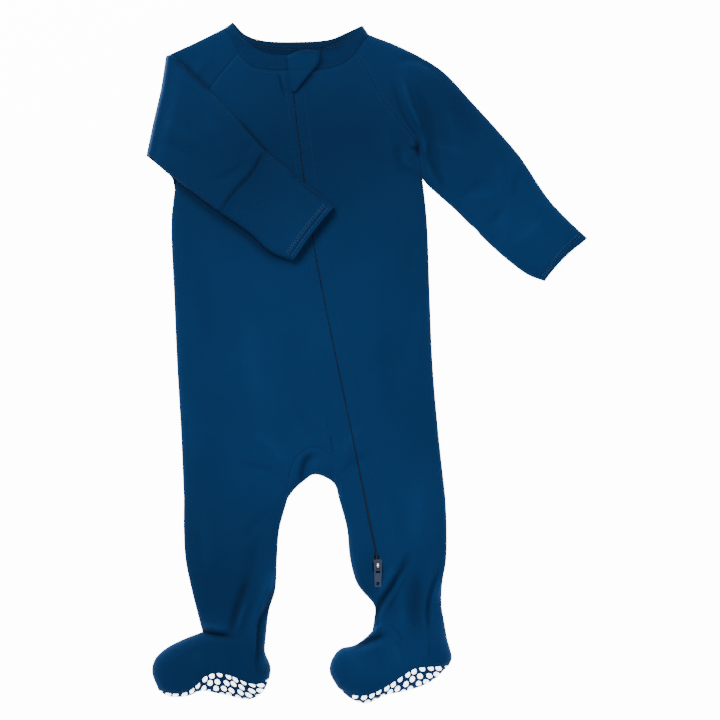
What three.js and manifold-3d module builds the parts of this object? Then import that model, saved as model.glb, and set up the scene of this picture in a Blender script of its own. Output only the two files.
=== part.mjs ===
// A baby's footed zip sleeper, laid flat on its back on a table: raglan sleeves, fold-over mitten cuffs, a
// crotch gusset, a zip from the neck to the left ankle, and feet with gripper soles. Millimetres, +Z up and
// +Y towards the neck. The origin is on the table, under the middle of the garment. "Right" and "left" are
// the wearer's, so the right sleeve and leg lie at -X. The right sleeve is folded back across the chest.
import * as THREE from "three";
import { mergeVertices } from "three/addons/utils/BufferGeometryUtils.js";
import Module from "manifold-3d";

// ---------------------------------------------------------------- driving sizes
const CLOTH = 1; // the jersey's thickness
const SEAM = 0.3; // the clear gap where two pieces are sewn together
const EDGE = 2 * CLOTH + SEAM; // height of front and back together along an outer edge
const FULLNESS = 2.2; // how much higher the front lies away from its edges
const FOOT_FULLNESS = 3.6; // the same on a foot, which lies on its side
const ROLL = 12; // how far in from an outer edge the cloth rises
const ANKLE = { from: -190, to: -243 }; // heights between which a leg fills out to its foot
const ZIP = { slot: 2, coil: 4.2, tape: 10, thick: 0.8, top: 268 };
const SLIDER = { across: 9.2, up: -178, length: 10, width: 7.6, lower: 0.8, upper: 1, post: 2, clear: 1.3 };
const BRIDGE = { length: 5.4, width: 2.8, opening: 3.4, inside: 1.9, thick: 0.8 };
const TAB = { length: 19.5, width: 7.4, tip: 5.6, thick: 1, head: 1, window: 5, windowWidth: 3.8 };
const TAB_HOLE = { width: 2.6, length: 3.2, fromTip: 1.3 };
const MITTEN_INSET = 0.5;

// ---------------------------------------------------------------- the layout, as short tables
// Each row of a table is one section of the garment, and its columns are named in the first argument.
const table = (columns, rows) =>
  rows.map((row) => Object.fromEntries(columns.split(" ").map((name, i) => [name, row[i]])));

// Levels across the body from the armpits down to the crotch, and across each leg.
const BODY = table("up right left", [
  [126, -172.5, 52],
  [60, -170, 54.5],
  [0, -167.5, 57],
  [-60, -164, 62],
  [-119, -161.5, 68.5],
]);
const RIGHT_LEG = table("up outer inner", [
  [-119, -161.5, -70.5],
  [-147, -161.5, -78],
  [-173, -160, -80],
  [-200, -154.5, -81.5],
  [-218, -150, -87],
]);
const LEFT_LEG = table("up outer inner", [
  [-119, 68.5, -25],
  [-145, 69.5, -18],
  [-173, 69, -15],
  [-195, 65.5, -8.5],
  [-214, 65, 6.5],
  [-226, 67, 6],
]);
// The zip's centre line leaves the middle of the neck and runs down the left leg.
const ZIP_LINE = table("across up", [
  [-68.5, 270],
  [-65, 235],
  [-57.5, 176],
  [-49, 115],
  [-36.5, 48],
  [-14.3, -59],
  [0.8, -134],
  [8.2, -172],
  [9.2, -190],
  [9.4, -212],
  [9, -236],
]);

// Seams, each from the first named end to the last.
const RIGHT_NECK_END = table("across up", [[-126, 294.5], [-119.5, 287], [-114, 273]]);
const RIGHT_RAGLAN = table("across up", [
  [-114, 273], [-136, 246], [-154, 215], [-165, 183], [-169.5, 153],
]);
const LEFT_NECK_END = table("across up", [[1, 289], [-4, 283], [-10, 273]]);
const LEFT_RAGLAN = table("across up", [
  [-10, 273], [0.5, 256], [12, 234], [29.5, 211], [42, 195], [48, 163],
]);
const FRONT_NECK = table("across up", [
  [-114, 273], [-103, 261.5], [-90, 258], [-62, 257.5], [-34, 259], [-19, 264.5], [-10, 273],
]);
const BACK_NECK = table("across up", [
  [-119.5, 287], [-108, 278], [-90, 273], [-62, 271.5], [-33, 273], [-14, 277.5], [-4, 283],
]);
const FRONT_NECKLINE = table("across up", [
  [-118.4, 300], [-112.5, 289.5], [-93.7, 274.6], [-72, 271], [-44, 275.5], [-24, 284],
  [-4.8, 297.4],
]);
const BACK_NECKLINE = table("across up", [
  [-118.4, 300], [-107.8, 289.5], [-92.8, 284.2], [-62, 282.9], [-33, 285.1], [-19.8, 290.4],
  [-4.8, 297.4],
]);
const GUSSET_SEAM = table("across up", [
  [-70.5, -119], [-68, -96], [-61, -82], [-48, -74.7], [-33, -81.5], [-26, -96], [-25, -119],
]);
const CROTCH = table("across up", [
  [-70.5, -119], [-64, -110.5], [-56, -103.5], [-47.5, -98], [-37, -100.5], [-28.5, -107],
  [-25, -119],
]);

// Sections across the sleeves, from the armhole to the cuff, each from the upper edge to the underarm edge.
const LEFT_SLEEVE = table("topAcross topUp underAcross underUp onMitten", [
  [31, 277, 54, 156, 0],
  [64.7, 257.8, 64, 147, 0],
  [90, 231.4, 77.9, 134.6, 0],
  [121.9, 196.2, 90, 122.5, 0],
  [134.5, 181, 96, 117.5, 0.5],
  [139.5, 173.5, 99, 113.5, 1],
  [159.7, 143.4, 124, 90.5, 1],
  [178, 124, 142, 77.5, 1],
  [194.9, 108.2, 156.2, 72.2, 1],
]);
const RIGHT_FOLD = table("across up", [[-176, 270.5], [-180.8, 240], [-187, 213], [-193.5, 182]]);
const RIGHT_FOREARM = table("topAcross topUp underAcross underUp onMitten", [
  [-160, 264.5, -179, 169.8, 0],
  [-139.5, 243.8, -160, 155.3, 0],
  [-118, 220.5, -145, 144, 0],
  [-90, 187.5, -129.8, 132.5, 1],
  [-72, 171.5, -105, 115.5, 1],
  [-50, 154, -84, 97, 1],
  [-29.5, 136.8, -65.6, 89.8, 1],
]);
const RIGHT_SLEEVE_TOP = table("across up", [[-126, 294.5], [-147, 284], [-176, 270.5]]);
const RIGHT_SLEEVE_UNDER = table("across up", [[-169.5, 153], [-181, 166], [-193.5, 182]]);

// Each foot lies on its side with the toe at -X. The ankle seam runs across the leg's end, from the side with
// the toe to the side with the heel. The vamp seam parts the vamp from the heel piece.
const FEET = {
  right: {
    ankleToe: table("across up", [[-145, -237], [-132, -239], [-119.5, -242]]),
    ankleHeel: table("across up", [[-119.5, -242], [-105, -243.5], [-90, -243.5]]),
    toe: table("across up", [
      [-145, -237], [-162, -243.5], [-178, -252], [-187, -261], [-189.5, -272], [-184, -287.5],
    ]),
    toeSole: table("across up", [
      [-184, -287.5], [-172, -290.5], [-160, -289.5], [-150, -283], [-142, -275], [-132, -272.5],
      [-119.5, -275],
    ]),
    heelSole: table("across up", [[-119.5, -275], [-104, -281.5], [-95, -282], [-86.5, -277]]),
    heel: table("across up", [[-90, -243.5], [-90.5, -254], [-85.5, -268], [-86.5, -277]]),
    soleEdge: table("across up", [
      [-184, -287.5], [-176, -293], [-157, -292.7], [-147, -288.5], [-126, -292], [-103, -295.7],
      [-92, -289], [-86.5, -277],
    ]),
  },
  left: {
    ankleToe: table("across up", [[4.5, -236], [10, -233], [17, -230.5], [25, -235.5], [31, -241.5]]),
    ankleHeel: table("across up", [[31, -241.5], [50, -243.5], [70, -243.5]]),
    toe: table("across up", [
      [5, -237], [-2, -243], [-12, -249], [-24, -252], [-31.5, -262], [-33, -272], [-26, -285.5],
    ]),
    toeSole: table("across up", [
      [-26, -285.5], [-14, -291.5], [-1, -292], [12, -287], [22, -281], [31, -275],
    ]),
    heelSole: table("across up", [[31, -275], [42, -268.5], [56, -267], [71.5, -266]]),
    heel: table("across up", [[70, -243.5], [72.5, -252], [74, -260], [71.5, -266]]),
    soleEdge: table("across up", [
      [-26, -285.5], [-14, -295.5], [-0.5, -299.5], [15, -292.5], [37, -287.7], [57, -279.5],
      [71.5, -266],
    ]),
  },
};
const CHIN_GUARD = {
  seamSide: table("across up", [[-67.8, 239.5], [-69, 252], [-70.8, 270]]),
  freeSide: table("across up", [[-63.4, 238.5], [-50.6, 254.3], [-43, 264], [-42, 274.6]]),
};

// ---------------------------------------------------------------- curves and patches in plan
const points = (rows) => rows.map((row) => [row.across, row.up]);
const edge = (rows, key) => rows.map((row) => [row[key], row.up]);
const reversed = (list) => [...list].reverse();
const even = (count) => Array.from({ length: count + 1 }, (_, i) => i / count);
const curve = (list) =>
  new THREE.CatmullRomCurve3(list.map(([x, y]) => new THREE.Vector3(x, y, 0)), false, "centripetal");
const run = (list, fractions) => {
  const line = curve(list);
  return fractions.map((t) => line.getPointAt(t).toArray().slice(0, 2));
};
const chain = (...runs) => runs.flatMap((list, i) => (i ? list.slice(1) : list));
const between = (a, b, t) => a.map((value, k) => value + (b[k] - value) * t);

// Fractions across a panel: close together where the cloth rolls down at its edges, wide apart between them.
function acrossCloth(width, middle) {
  const rise = [0, 0.2, 0.5, 1].map((t) => (t * ROLL) / width);
  const last = rise.at(-1);
  const flat = even(middle).slice(1, -1);
  return [...rise, ...flat.map((t) => last + t * (1 - 2 * last)), ...reversed(rise.map((t) => 1 - t))];
}

function fractionsAlong(list) {
  const sums = [0];
  for (let i = 1; i < list.length; i++) {
    sums.push(sums[i - 1] + Math.hypot(list[i][0] - list[i - 1][0], list[i][1] - list[i - 1][1]));
  }
  return sums.map((sum) => sum / sums.at(-1));
}

// A patch that fills four runs of points: first and last go across, and left and right join their ends.
function patch(first, last, left, right) {
  const shares = [first, last, left, right].map(fractionsAlong);
  return left.map((_, j) =>
    first.map((_, i) => {
      const v = (shares[2][j] + shares[3][j]) / 2;
      const u = shares[0][i] * (1 - v) + shares[1][i] * v;
      const ruled = between(first[i], last[i], v).map((value, k) => value + between(left[j], right[j], u)[k]);
      const corners = between(between(first[0], first.at(-1), u), between(last[0], last.at(-1), u), v);
      return ruled.map((value, k) => value - corners[k]);
    }),
  );
}

// ---------------------------------------------------------------- solids
const wasm = await Module();
wasm.setup();

function solid(vertices, triangles) {
  const volume = triangles.reduce((sum, [a, b, c]) => {
    const [p, q, r] = [a, b, c].map((n) => new THREE.Vector3(...vertices[n]));
    return sum + p.dot(q.cross(r));
  }, 0);
  const faces = volume < 0 ? triangles.map(reversed) : triangles;
  const mesh = new wasm.Mesh({
    numProp: 3,
    vertProperties: new Float32Array(vertices.flat()),
    triVerts: new Uint32Array(faces.flat()),
  });
  return new wasm.Manifold(mesh);
}

// Patches in plan as one flat mesh, with its rim as directed edges.
function planOf(patches) {
  const plan = [];
  const seen = new Map();
  const faces = [];
  const number = (point) => {
    const key = point.map((value) => Math.round(value * 100)).join();
    if (!seen.has(key)) {
      seen.set(key, plan.push(point) - 1);
    }
    return seen.get(key);
  };
  for (const rows of patches) {
    for (let j = 1; j < rows.length; j++) {
      for (let i = 1; i < rows[j].length; i++) {
        const quad = [rows[j - 1][i - 1], rows[j - 1][i], rows[j][i], rows[j][i - 1]].map(number);
        const area = THREE.ShapeUtils.area(quad.map((n) => new THREE.Vector2(...plan[n])));
        const [a, b, c, d] = area < 0 ? reversed(quad) : quad;
        faces.push([a, b, c], [a, c, d]);
      }
    }
  }
  const whole = faces.filter((face) => new Set(face).size === 3);
  const rim = new Map();
  for (const face of whole) {
    face.forEach((a, k) => {
      const b = face[(k + 1) % 3];
      if (!rim.delete(`${b},${a}`)) {
        rim.set(`${a},${b}`, [a, b]);
      }
    });
  }
  return { plan, faces: whole, rim: [...rim.values()] };
}

// A wall of cloth over patches in plan. The height functions give its upper and under surfaces.
function wall(patches, upper, under) {
  const { plan, faces, rim } = planOf(patches);
  const count = plan.length;
  const sides = rim.flatMap(([a, b]) => [[a, a + count, b], [b, a + count, b + count]]);
  const below = faces.map(([a, b, c]) => [a + count, c + count, b + count]);
  const vertices = [upper, under].flatMap((height) => plan.map(([x, y]) => [x, y, height(x, y)]));
  return solid(vertices, [...faces, ...below, ...sides]);
}

// The same for cloth that lies flat on the table, from its rim alone.
function flatWall(patches) {
  const { plan, rim } = planOf(patches);
  const next = new Map(rim);
  const outline = [rim[0][0]];
  while (next.get(outline.at(-1)) !== outline[0]) {
    outline.push(next.get(outline.at(-1)));
  }
  return prism(outline.map((n) => plan[n]), 0, CLOTH);
}

// A straight-sided solid over an outline.
function prism(outline, low, high) {
  const shape = new THREE.Shape(outline.map(([x, y]) => new THREE.Vector2(x, y)));
  const geometry = new THREE.ExtrudeGeometry(shape, { depth: high - low, bevelEnabled: false });
  geometry.translate(0, 0, low);
  return solidOf(geometry);
}

function inThrees(list) {
  return Array.from({ length: list.length / 3 }, (_, i) => Array.from(list.slice(3 * i, 3 * i + 3)));
}

function solidOf(geometry) {
  geometry.deleteAttribute("normal");
  geometry.deleteAttribute("uv");
  const merged = mergeVertices(geometry, 1e-4);
  const place = merged.attributes.position;
  return solid(inThrees(place.array), inThrees(merged.index.array));
}

// A band that follows a line in plan. Its half width may change along the line.
function band(line, halfWidth, low, high, shift = 0) {
  const sides = line.map(([x, y], i) => {
    const [before, after] = [line[Math.max(0, i - 1)], line[Math.min(line.length - 1, i + 1)]];
    const along = new THREE.Vector2(after[0] - before[0], after[1] - before[1]).normalize();
    const half = typeof halfWidth === "function" ? halfWidth(y) : halfWidth;
    return [shift + half, shift - half].map((offset) => [x - along.y * offset, y + along.x * offset]);
  });
  return prism([...sides.map((side) => side[0]), ...reversed(sides.map((side) => side[1]))], low, high);
}

// ---------------------------------------------------------------- heights over the table
const near = (list) => run(list, even(5 * list.length));
const OUTER_EDGES = [
  points(RIGHT_SLEEVE_TOP),
  points(RIGHT_SLEEVE_UNDER),
  [...edge(BODY, "right"), ...edge(RIGHT_LEG, "outer").slice(1)],
  edge(RIGHT_LEG, "inner"),
  points(CROTCH),
  edge(LEFT_LEG, "inner"),
  [...edge(BODY, "left"), ...edge(LEFT_LEG, "outer").slice(1)],
  [[1, 289], ...LEFT_SLEEVE.map((row) => [row.topAcross, row.topUp])],
  [[48, 163], ...LEFT_SLEEVE.map((row) => [row.underAcross, row.underUp])],
  ...Object.values(FEET).flatMap((foot) => [points(foot.toe), points(foot.soleEdge), points(foot.heel)]),
].map(near);
const FOREARM_EDGES = [
  RIGHT_FOREARM.map((row) => [row.topAcross, row.topUp]),
  RIGHT_FOREARM.map((row) => [row.underAcross, row.underUp]),
].map(near);

function distanceTo(lines, x, y) {
  let best = ROLL;
  for (const line of lines) {
    for (let i = 1; i < line.length; i++) {
      const [ax, ay] = line[i - 1];
      const [dx, dy] = [line[i][0] - ax, line[i][1] - ay];
      const t = THREE.MathUtils.clamp(((x - ax) * dx + (y - ay) * dy) / (dx * dx + dy * dy), 0, 1);
      best = Math.min(best, Math.hypot(x - ax - t * dx, y - ay - t * dy));
    }
  }
  return best;
}

// The rise from an outer edge, as a quarter round: 0 at the edge and 1 at the roll's far side.
const rise = (lines, x, y) => Math.sqrt(1 - (1 - distanceTo(lines, x, y) / ROLL) ** 2);
const fullness = (y) =>
  THREE.MathUtils.lerp(FOOT_FULLNESS, FULLNESS, THREE.MathUtils.smoothstep(y, ANKLE.to, ANKLE.from));
const frontTop = (x, y) => EDGE + fullness(y) * rise(OUTER_EDGES, x, y);
const raised = (height, amount) => (x, y) => height(x, y) + amount;
const flat = (height) => () => height;
const frontUnder = raised(frontTop, -CLOTH);
const TALL = 20; // taller than any cut needs to be

// The folded forearm lies just clear of the chest.
const FOREARM_LOW = EDGE + FULLNESS + 0.5;
const forearmTop = (x, y) => FOREARM_LOW + EDGE + FULLNESS * rise(FOREARM_EDGES, x, y);

// ---------------------------------------------------------------- seam lines, which neighbours share
const seamRow = (rows, count) => run(points(rows), even(count));
const raglan = { right: seamRow(RIGHT_RAGLAN, 8), left: seamRow(LEFT_RAGLAN, 8) };
const armhole = {
  right: chain(seamRow(RIGHT_NECK_END, 2), raglan.right),
  left: chain(seamRow(LEFT_NECK_END, 2), raglan.left),
};
const gussetSeam = seamRow(GUSSET_SEAM, 8);
const crotchEdge = seamRow(CROTCH, 8);
const ankleRow = (foot) => chain(seamRow(foot.ankleToe, 5), seamRow(foot.ankleHeel, 4));
const ankle = { right: ankleRow(FEET.right), left: ankleRow(FEET.left) };

// Fractions across a leg, one for each point of an ankle seam, and the line that they give at the crotch.
const FRONT_COLUMNS = acrossCloth(91, 3);
const BACK_COLUMNS = even(9);
function crotchLine(columns) {
  const right = run([[-161.5, -119], crotchEdge[0]], columns);
  const left = run([crotchEdge.at(-1), [68.5, -119]], columns);
  return chain(right, crotchEdge, left);
}
const neck = {
  front: run(points(FRONT_NECK), fractionsAlong(crotchLine(FRONT_COLUMNS))),
  back: run(points(BACK_NECK), fractionsAlong(crotchLine(BACK_COLUMNS))),
};

// A seam as a thin cut right through, which runs a little past both ends of its line.
function cut(line, low = -1, high = TALL) {
  const extend = (from, to) => between(from, to, -2 / Math.hypot(to[0] - from[0], to[1] - from[1]));
  const whole = [extend(line[0], line[1]), ...line, extend(line.at(-1), line.at(-2))];
  return band(whole, SEAM / 2, low, high);
}
const cuts = {
  armholes: [cut(armhole.right, -1, FOREARM_LOW - SEAM / 2), cut(armhole.left)],
  gusset: cut(gussetSeam),
  ankles: [cut(ankle.right), cut(ankle.left)],
  frontNeck: cut(neck.front, CLOTH + 0.1),
  backNeck: cut(neck.back, -1, CLOTH + 0.1),
};
const without = (body, tools) => tools.reduce((rest, tool) => rest.subtract(tool), body);
const partsOf = (body) => body.decompose().sort((a, b) => b.volume() - a.volume());

// ---------------------------------------------------------------- the zip's slot in the front
// Half its width at a height up the garment: it opens round the slider and closes to a seam below it.
function slotHalf(up) {
  const beside = Math.abs(up - SLIDER.up) - SLIDER.length / 2;
  const opened = SLIDER.width / 2 + SLIDER.clear;
  const plain = up > SLIDER.up ? ZIP.slot / 2 : SEAM / 2;
  return THREE.MathUtils.lerp(opened, plain, THREE.MathUtils.smoothstep(beside, 0, SLIDER.length / 2));
}
const slotAlong = run(points(ZIP_LINE), even(100)).filter(([, y], i) => i % 6 === 0 || y < SLIDER.up + 20);
const zipSlot = band(slotAlong, slotHalf, CLOTH + 0.1, TALL);

// ---------------------------------------------------------------- the body's cloth
// The body, from the neck seam down to the ankles, as patches that share their edges.
function bodyPatches(neckRow, columns, rows) {
  const crotch = crotchLine(columns);
  const chest = run([raglan.right.at(-1), raglan.left.at(-1)], fractionsAlong(crotch));
  const side = (key) => run([raglan[key].at(-1), ...edge(BODY, key)], even(rows.torso));
  const leg = (sections, seam, low, high) => {
    const top = [[sections[0][low], sections[0].up], [sections[0][high], sections[0].up]];
    const sides = [low, high].map((key, i) => [...edge(sections, key), seam.at(-i)]);
    return patch(run(top, columns), seam, ...sides.map((list) => run(list, even(rows.leg))));
  };
  return [
    patch(neckRow, chest, raglan.right, raglan.left),
    patch(chest, crotch, side("right"), side("left")),
    leg(RIGHT_LEG, ankle.right, "outer", "inner"),
    leg(LEFT_LEG, ankle.left, "inner", "outer"),
  ];
}

const bodyCuts = [...cuts.armholes, cuts.gusset, ...cuts.ankles];
const frontWall = wall(bodyPatches(neck.front, FRONT_COLUMNS, { torso: 9, leg: 7 }), frontTop, frontUnder);
const backWall = flatWall(bodyPatches(neck.back, BACK_COLUMNS, { torso: 7, leg: 7 }));
const fronts = partsOf(without(frontWall, [...bodyCuts, cuts.frontNeck, zipSlot]));
const backs = partsOf(without(backWall, [...bodyCuts, cuts.backNeck]));

// ---------------------------------------------------------------- pieces that fold round an edge
// Cloth that lies in two layers, joined round its closed edge: a top layer, an under layer and the fold.
function folded(patches, closedEdge, inward) {
  const top = wall(patches, frontTop, frontUnder);
  const under = flatWall(patches);
  const fold = band(closedEdge, CLOTH / 2, 0, EDGE, inward * (CLOTH / 2 + 0.02));
  return top.add(under).add(fold);
}

function gusset() {
  const rows = even(4).map((t) => gussetSeam.map((point, i) => between(point, crotchEdge[i], t)));
  return partsOf(folded([rows], crotchEdge, 1).subtract(cuts.gusset))[0];
}

// The three pieces of a foot, each in two layers with its outer edge closed.
function foot(ankleSeam, { toe, toeSole, heelSole, heel, soleEdge }) {
  const heelStart = 5;
  const toeSeam = seamRow(toeSole, heelStart);
  const heelSeam = seamRow(heelSole, ankleSeam.length - 1 - heelStart);
  const soleSeam = chain(toeSeam, heelSeam);
  const vampSeam = run([ankleSeam[heelStart], toeSeam.at(-1)], even(4));
  const edges = {
    toe: seamRow(toe, 4),
    heel: seamRow(heel, 4),
    sole: run(points(soleEdge), fractionsAlong(soleSeam)),
  };
  const patches = {
    vamp: patch(ankleSeam.slice(0, heelStart + 1), toeSeam, edges.toe, vampSeam),
    heel: patch(ankleSeam.slice(heelStart), heelSeam, vampSeam, edges.heel),
    sole: even(2).map((t) => soleSeam.map((point, i) => between(point, edges.sole[i], t))),
  };
  const tools = [...cuts.ankles, cut(vampSeam), cut(soleSeam)];
  const finish = (body) => partsOf(without(body, tools))[0];
  return {
    vamp: finish(folded([patches.vamp], edges.toe, 1)),
    heel: finish(folded([patches.heel], edges.heel, -1)),
    sole: finish(folded([patches.sole], edges.sole, 1)),
  };
}

// ---------------------------------------------------------------- tubes: the sleeves
// A station is a row of points in plan with the heights of four surfaces over each: the outside and inside of
// the layer that starts underneath, then the inside and outside of the layer that starts on top.
function tube(stations) {
  const outer = stations.map((rows) => [...rows[0], ...reversed(rows[3])]);
  const inner = stations.map((rows) => [...rows[1], ...reversed(rows[2])]);
  const around = outer[0].length;
  const size = outer.length * around;
  const at = (side, j, i) => side * size + j * around + (i % around);
  const triangles = [];
  const quad = (a, b, c, d) => triangles.push([a, b, c], [a, c, d]);
  const last = stations.length - 1;
  for (let i = 0; i < around; i++) {
    for (let j = 0; j < last; j++) {
      quad(at(0, j, i), at(0, j, i + 1), at(0, j + 1, i + 1), at(0, j + 1, i));
      quad(at(1, j, i + 1), at(1, j, i), at(1, j + 1, i), at(1, j + 1, i + 1));
    }
    quad(at(1, 0, i), at(1, 0, i + 1), at(0, 0, i + 1), at(0, 0, i));
    quad(at(0, last, i), at(0, last, i + 1), at(1, last, i + 1), at(1, last, i));
  }
  return solid([...outer.flat(), ...inner.flat()], triangles);
}

const SLEEVE_COLUMNS = acrossCloth(75, 4);

// A station from a row of points across the sleeve, with a height function for each of the four surfaces. The
// inside surfaces stop a cloth's thickness short of the sleeve's edges.
function station(row, heights) {
  const pullIn = (from, to) => between(from, to, CLOTH / Math.hypot(to[0] - from[0], to[1] - from[1]));
  const inner = [pullIn(row[0], row[1]), ...row.slice(1, -1), pullIn(row.at(-1), row.at(-2))];
  return heights.map((height, k) => (k === 0 || k === 3 ? row : inner).map(([x, y]) => [x, y, height(x, y)]));
}
const across = (row) => run([[row.topAcross, row.topUp], [row.underAcross, row.underUp]], SLEEVE_COLUMNS);
const lying = (lift) => [flat(lift), flat(lift + CLOTH), raised(frontUnder, lift), raised(frontTop, lift)];

function leftSleeve() {
  const lifts = LEFT_SLEEVE.map((row) => row.onMitten * (CLOTH + SEAM));
  return tube([
    station(armhole.left, lying(0)),
    ...LEFT_SLEEVE.map((row, i) => station(across(row), lying(lifts[i]))),
  ]);
}

// Heights of the four surfaces where the pressed sleeve lies on the table next to its fold, and above it.
const BELOW = [0, CLOTH, CLOTH + SEAM, EDGE];
const ABOVE = [EDGE, CLOTH + SEAM, CLOTH, 0].map((height) => FOREARM_LOW + height);
const foldMiddle = (FOREARM_LOW + EDGE) / 2;

// A station part of the way round the fold, from 0 underneath to 1 on top.
function roundFold(t) {
  const angle = Math.PI * t;
  const line = run(points(RIGHT_FOLD), SLEEVE_COLUMNS);
  return BELOW.map((height, k) => {
    const radius = foldMiddle - height;
    const moved = line.map(([x, y]) => [x + foldMiddle - radius * Math.sin(angle), y]);
    return station(moved, BELOW.map(() => flat(foldMiddle - radius * Math.cos(angle))))[k];
  });
}

function rightSleeve() {
  const shoulder = station(armhole.right, lying(0));
  const fold = even(4).map(roundFold);
  const halfway = shoulder.map((row, k) => row.map((point, i) => between(point, fold[0][k][i], 0.5)));
  const top = [forearmTop, raised(forearmTop, -CLOTH), flat(ABOVE[2]), flat(ABOVE[3])];
  return tube([shoulder, halfway, ...fold, ...RIGHT_FOREARM.map((row) => station(across(row), top))]);
}

// A mitten flap over the sections of a sleeve that lie on it or under it.
function mittenPatches(sections) {
  const rows = sections.filter((row) => row.onMitten === 1).map((row) => {
    const line = across(row);
    const ends = [[0, 1], [-1, -2]].map(([end, next]) => {
      const [a, b] = [line.at(end), line.at(next)];
      return between(a, b, MITTEN_INSET / Math.hypot(b[0] - a[0], b[1] - a[1]));
    });
    return [ends[0], ...line.slice(1, -1), ends[1]];
  });
  return [rows];
}

// ---------------------------------------------------------------- neckband, chin guard and zip
function neckband() {
  const rightEnd = seamRow(RIGHT_NECK_END, 2);
  const leftEnd = reversed(seamRow(LEFT_NECK_END, 2));
  const strip = (neckline, seam) => {
    const inner = run(points(neckline), fractionsAlong(seam));
    return [even(2).map((t) => inner.map((point, i) => between(point, seam[i], t)))];
  };
  const front = wall(strip(FRONT_NECKLINE, chain(rightEnd, neck.front, leftEnd)), frontTop, frontUnder);
  const backSeam = chain(rightEnd.slice(0, 2), neck.back, leftEnd.slice(1));
  const back = flatWall(strip(BACK_NECKLINE, backSeam));
  const neckPoints = points(FRONT_NECKLINE);
  const shoulders = [[rightEnd[0], neckPoints[0]], [neckPoints.at(-1), leftEnd.at(-1)]];
  const folds = shoulders.map((line) => band(line, CLOTH / 2, 0, EDGE, -CLOTH / 2 - 0.02));
  const tools = [...cuts.armholes, cuts.frontNeck, cuts.backNeck, zipSlot];
  return partsOf(without(front.add(back).add(folds[0]).add(folds[1]), tools))[0];
}

function chinGuard() {
  const rows = even(5).map((t) => {
    const [a, b] = [run(points(CHIN_GUARD.seamSide), [t])[0], run(points(CHIN_GUARD.freeSide), [t])[0]];
    return run([a, b], even(5));
  });
  return wall([rows], raised(frontTop, SEAM + CLOTH), raised(frontTop, SEAM));
}

// The zip's chain and tapes lie under the front, level with each other.
const CHAIN = { low: EDGE + FULLNESS - CLOTH - SEAM - ZIP.thick, high: EDGE + FULLNESS - CLOTH - SEAM };
function zipStrip(from, to) {
  const line = run(points(ZIP_LINE), even(32)).filter(([, y]) => y < ZIP.top && y > SLIDER.up + 2);
  const rows = line.map(([x, y]) => [[x + from, y], [x + to, y]]);
  return wall([rows], flat(CHAIN.high), flat(CHAIN.low));
}

// ---------------------------------------------------------------- slider and pull tab
const PLATE_TOP = CHAIN.high + SEAM + SLIDER.upper;
const TAB_AXIS = PLATE_TOP + BRIDGE.inside / 2;
const box = (x0, x1, y0, y1, z0, z1) => prism([[x0, y0], [x1, y0], [x1, y1], [x0, y1]], z0, z1);

// An outline with rounded shoulders, narrower at its lower end, about a middle line.
function tongue(x, top, bottom, width, tip, round) {
  const half = [width / 2, tip / 2];
  const right = [
    [half[0] - round, top],
    [half[0], top - round],
    [half[1], bottom + round],
    [half[1] - round, bottom],
  ];
  return [...right.map(([dx, y]) => [x + dx, y]), ...reversed(right).map(([dx, y]) => [x - dx, y])];
}

function slider() {
  const { across: x, up, length, width } = SLIDER;
  const [top, bottom] = [up + length / 2, up - length / 2];
  const outline = tongue(x, top, bottom, width, width - 2, 1);
  const [lowTop, highUnder] = [CHAIN.low - SEAM, CHAIN.high + SEAM];
  const lower = prism(outline, lowTop - SLIDER.lower, lowTop);
  const upper = prism(outline, highUnder, PLATE_TOP);
  const post = box(x - SLIDER.post / 2, x + SLIDER.post / 2, bottom + 0.5, up + 0.5, lowTop, PLATE_TOP);
  const crown = PLATE_TOP + BRIDGE.inside;
  const [wide, long, open] = [BRIDGE.width / 2, BRIDGE.length / 2, BRIDGE.opening / 2];
  const arch = box(x - wide, x + wide, up - long, up + long, highUnder, crown + BRIDGE.thick);
  const opening = box(x - width, x + width, up - open, up + open, PLATE_TOP, crown);
  return lower.add(upper).add(post).add(arch.subtract(opening));
}

function pullTab() {
  const { across: x, up } = SLIDER;
  const top = up + TAB.head / 2;
  const [low, high] = [TAB_AXIS - TAB.thick / 2, TAB_AXIS + TAB.thick / 2];
  const plate = prism(tongue(x, top, top - TAB.length, TAB.width, TAB.tip, 1), low, high);
  const windowTop = top - TAB.head;
  const half = { window: TAB.windowWidth / 2, hole: TAB_HOLE.width / 2 };
  const window = box(x - half.window, x + half.window, windowTop - TAB.window, windowTop, low - 1, high + 1);
  const holeLow = top - TAB.length + TAB_HOLE.fromTip;
  const hole = box(x - half.hole, x + half.hole, holeLow, holeLow + TAB_HOLE.length, low - 1, high + 1);
  return plate.subtract(window).subtract(hole);
}

// ---------------------------------------------------------------- the garment
const finishes = {
  jersey: { color: 0x0b3358, roughness: 0.85, metalness: 0 },
  gripCloth: { color: 0x16365f, roughness: 0.8, metalness: 0 },
  ribbon: { color: 0x0a2442, roughness: 0.7, metalness: 0 },
  nylon: { color: 0x0a1b33, roughness: 0.5, metalness: 0 },
  enamel: { color: 0x26344f, roughness: 0.35, metalness: 0.4 },
};

const garment = new THREE.Group();
function sew(name, body, finish) {
  const { numProp, vertProperties, triVerts } = body.getMesh();
  const place = Array.from({ length: vertProperties.length / numProp }, (_, i) =>
    Array.from(vertProperties.slice(i * numProp, i * numProp + 3)),
  );
  const geometry = new THREE.BufferGeometry();
  geometry.setAttribute("position", new THREE.Float32BufferAttribute(place.flat(), 3));
  geometry.setIndex(Array.from(triVerts));
  const mesh = new THREE.Mesh(geometry, new THREE.MeshStandardMaterial(finishes[finish]));
  mesh.name = name;
  garment.add(mesh);
}

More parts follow.
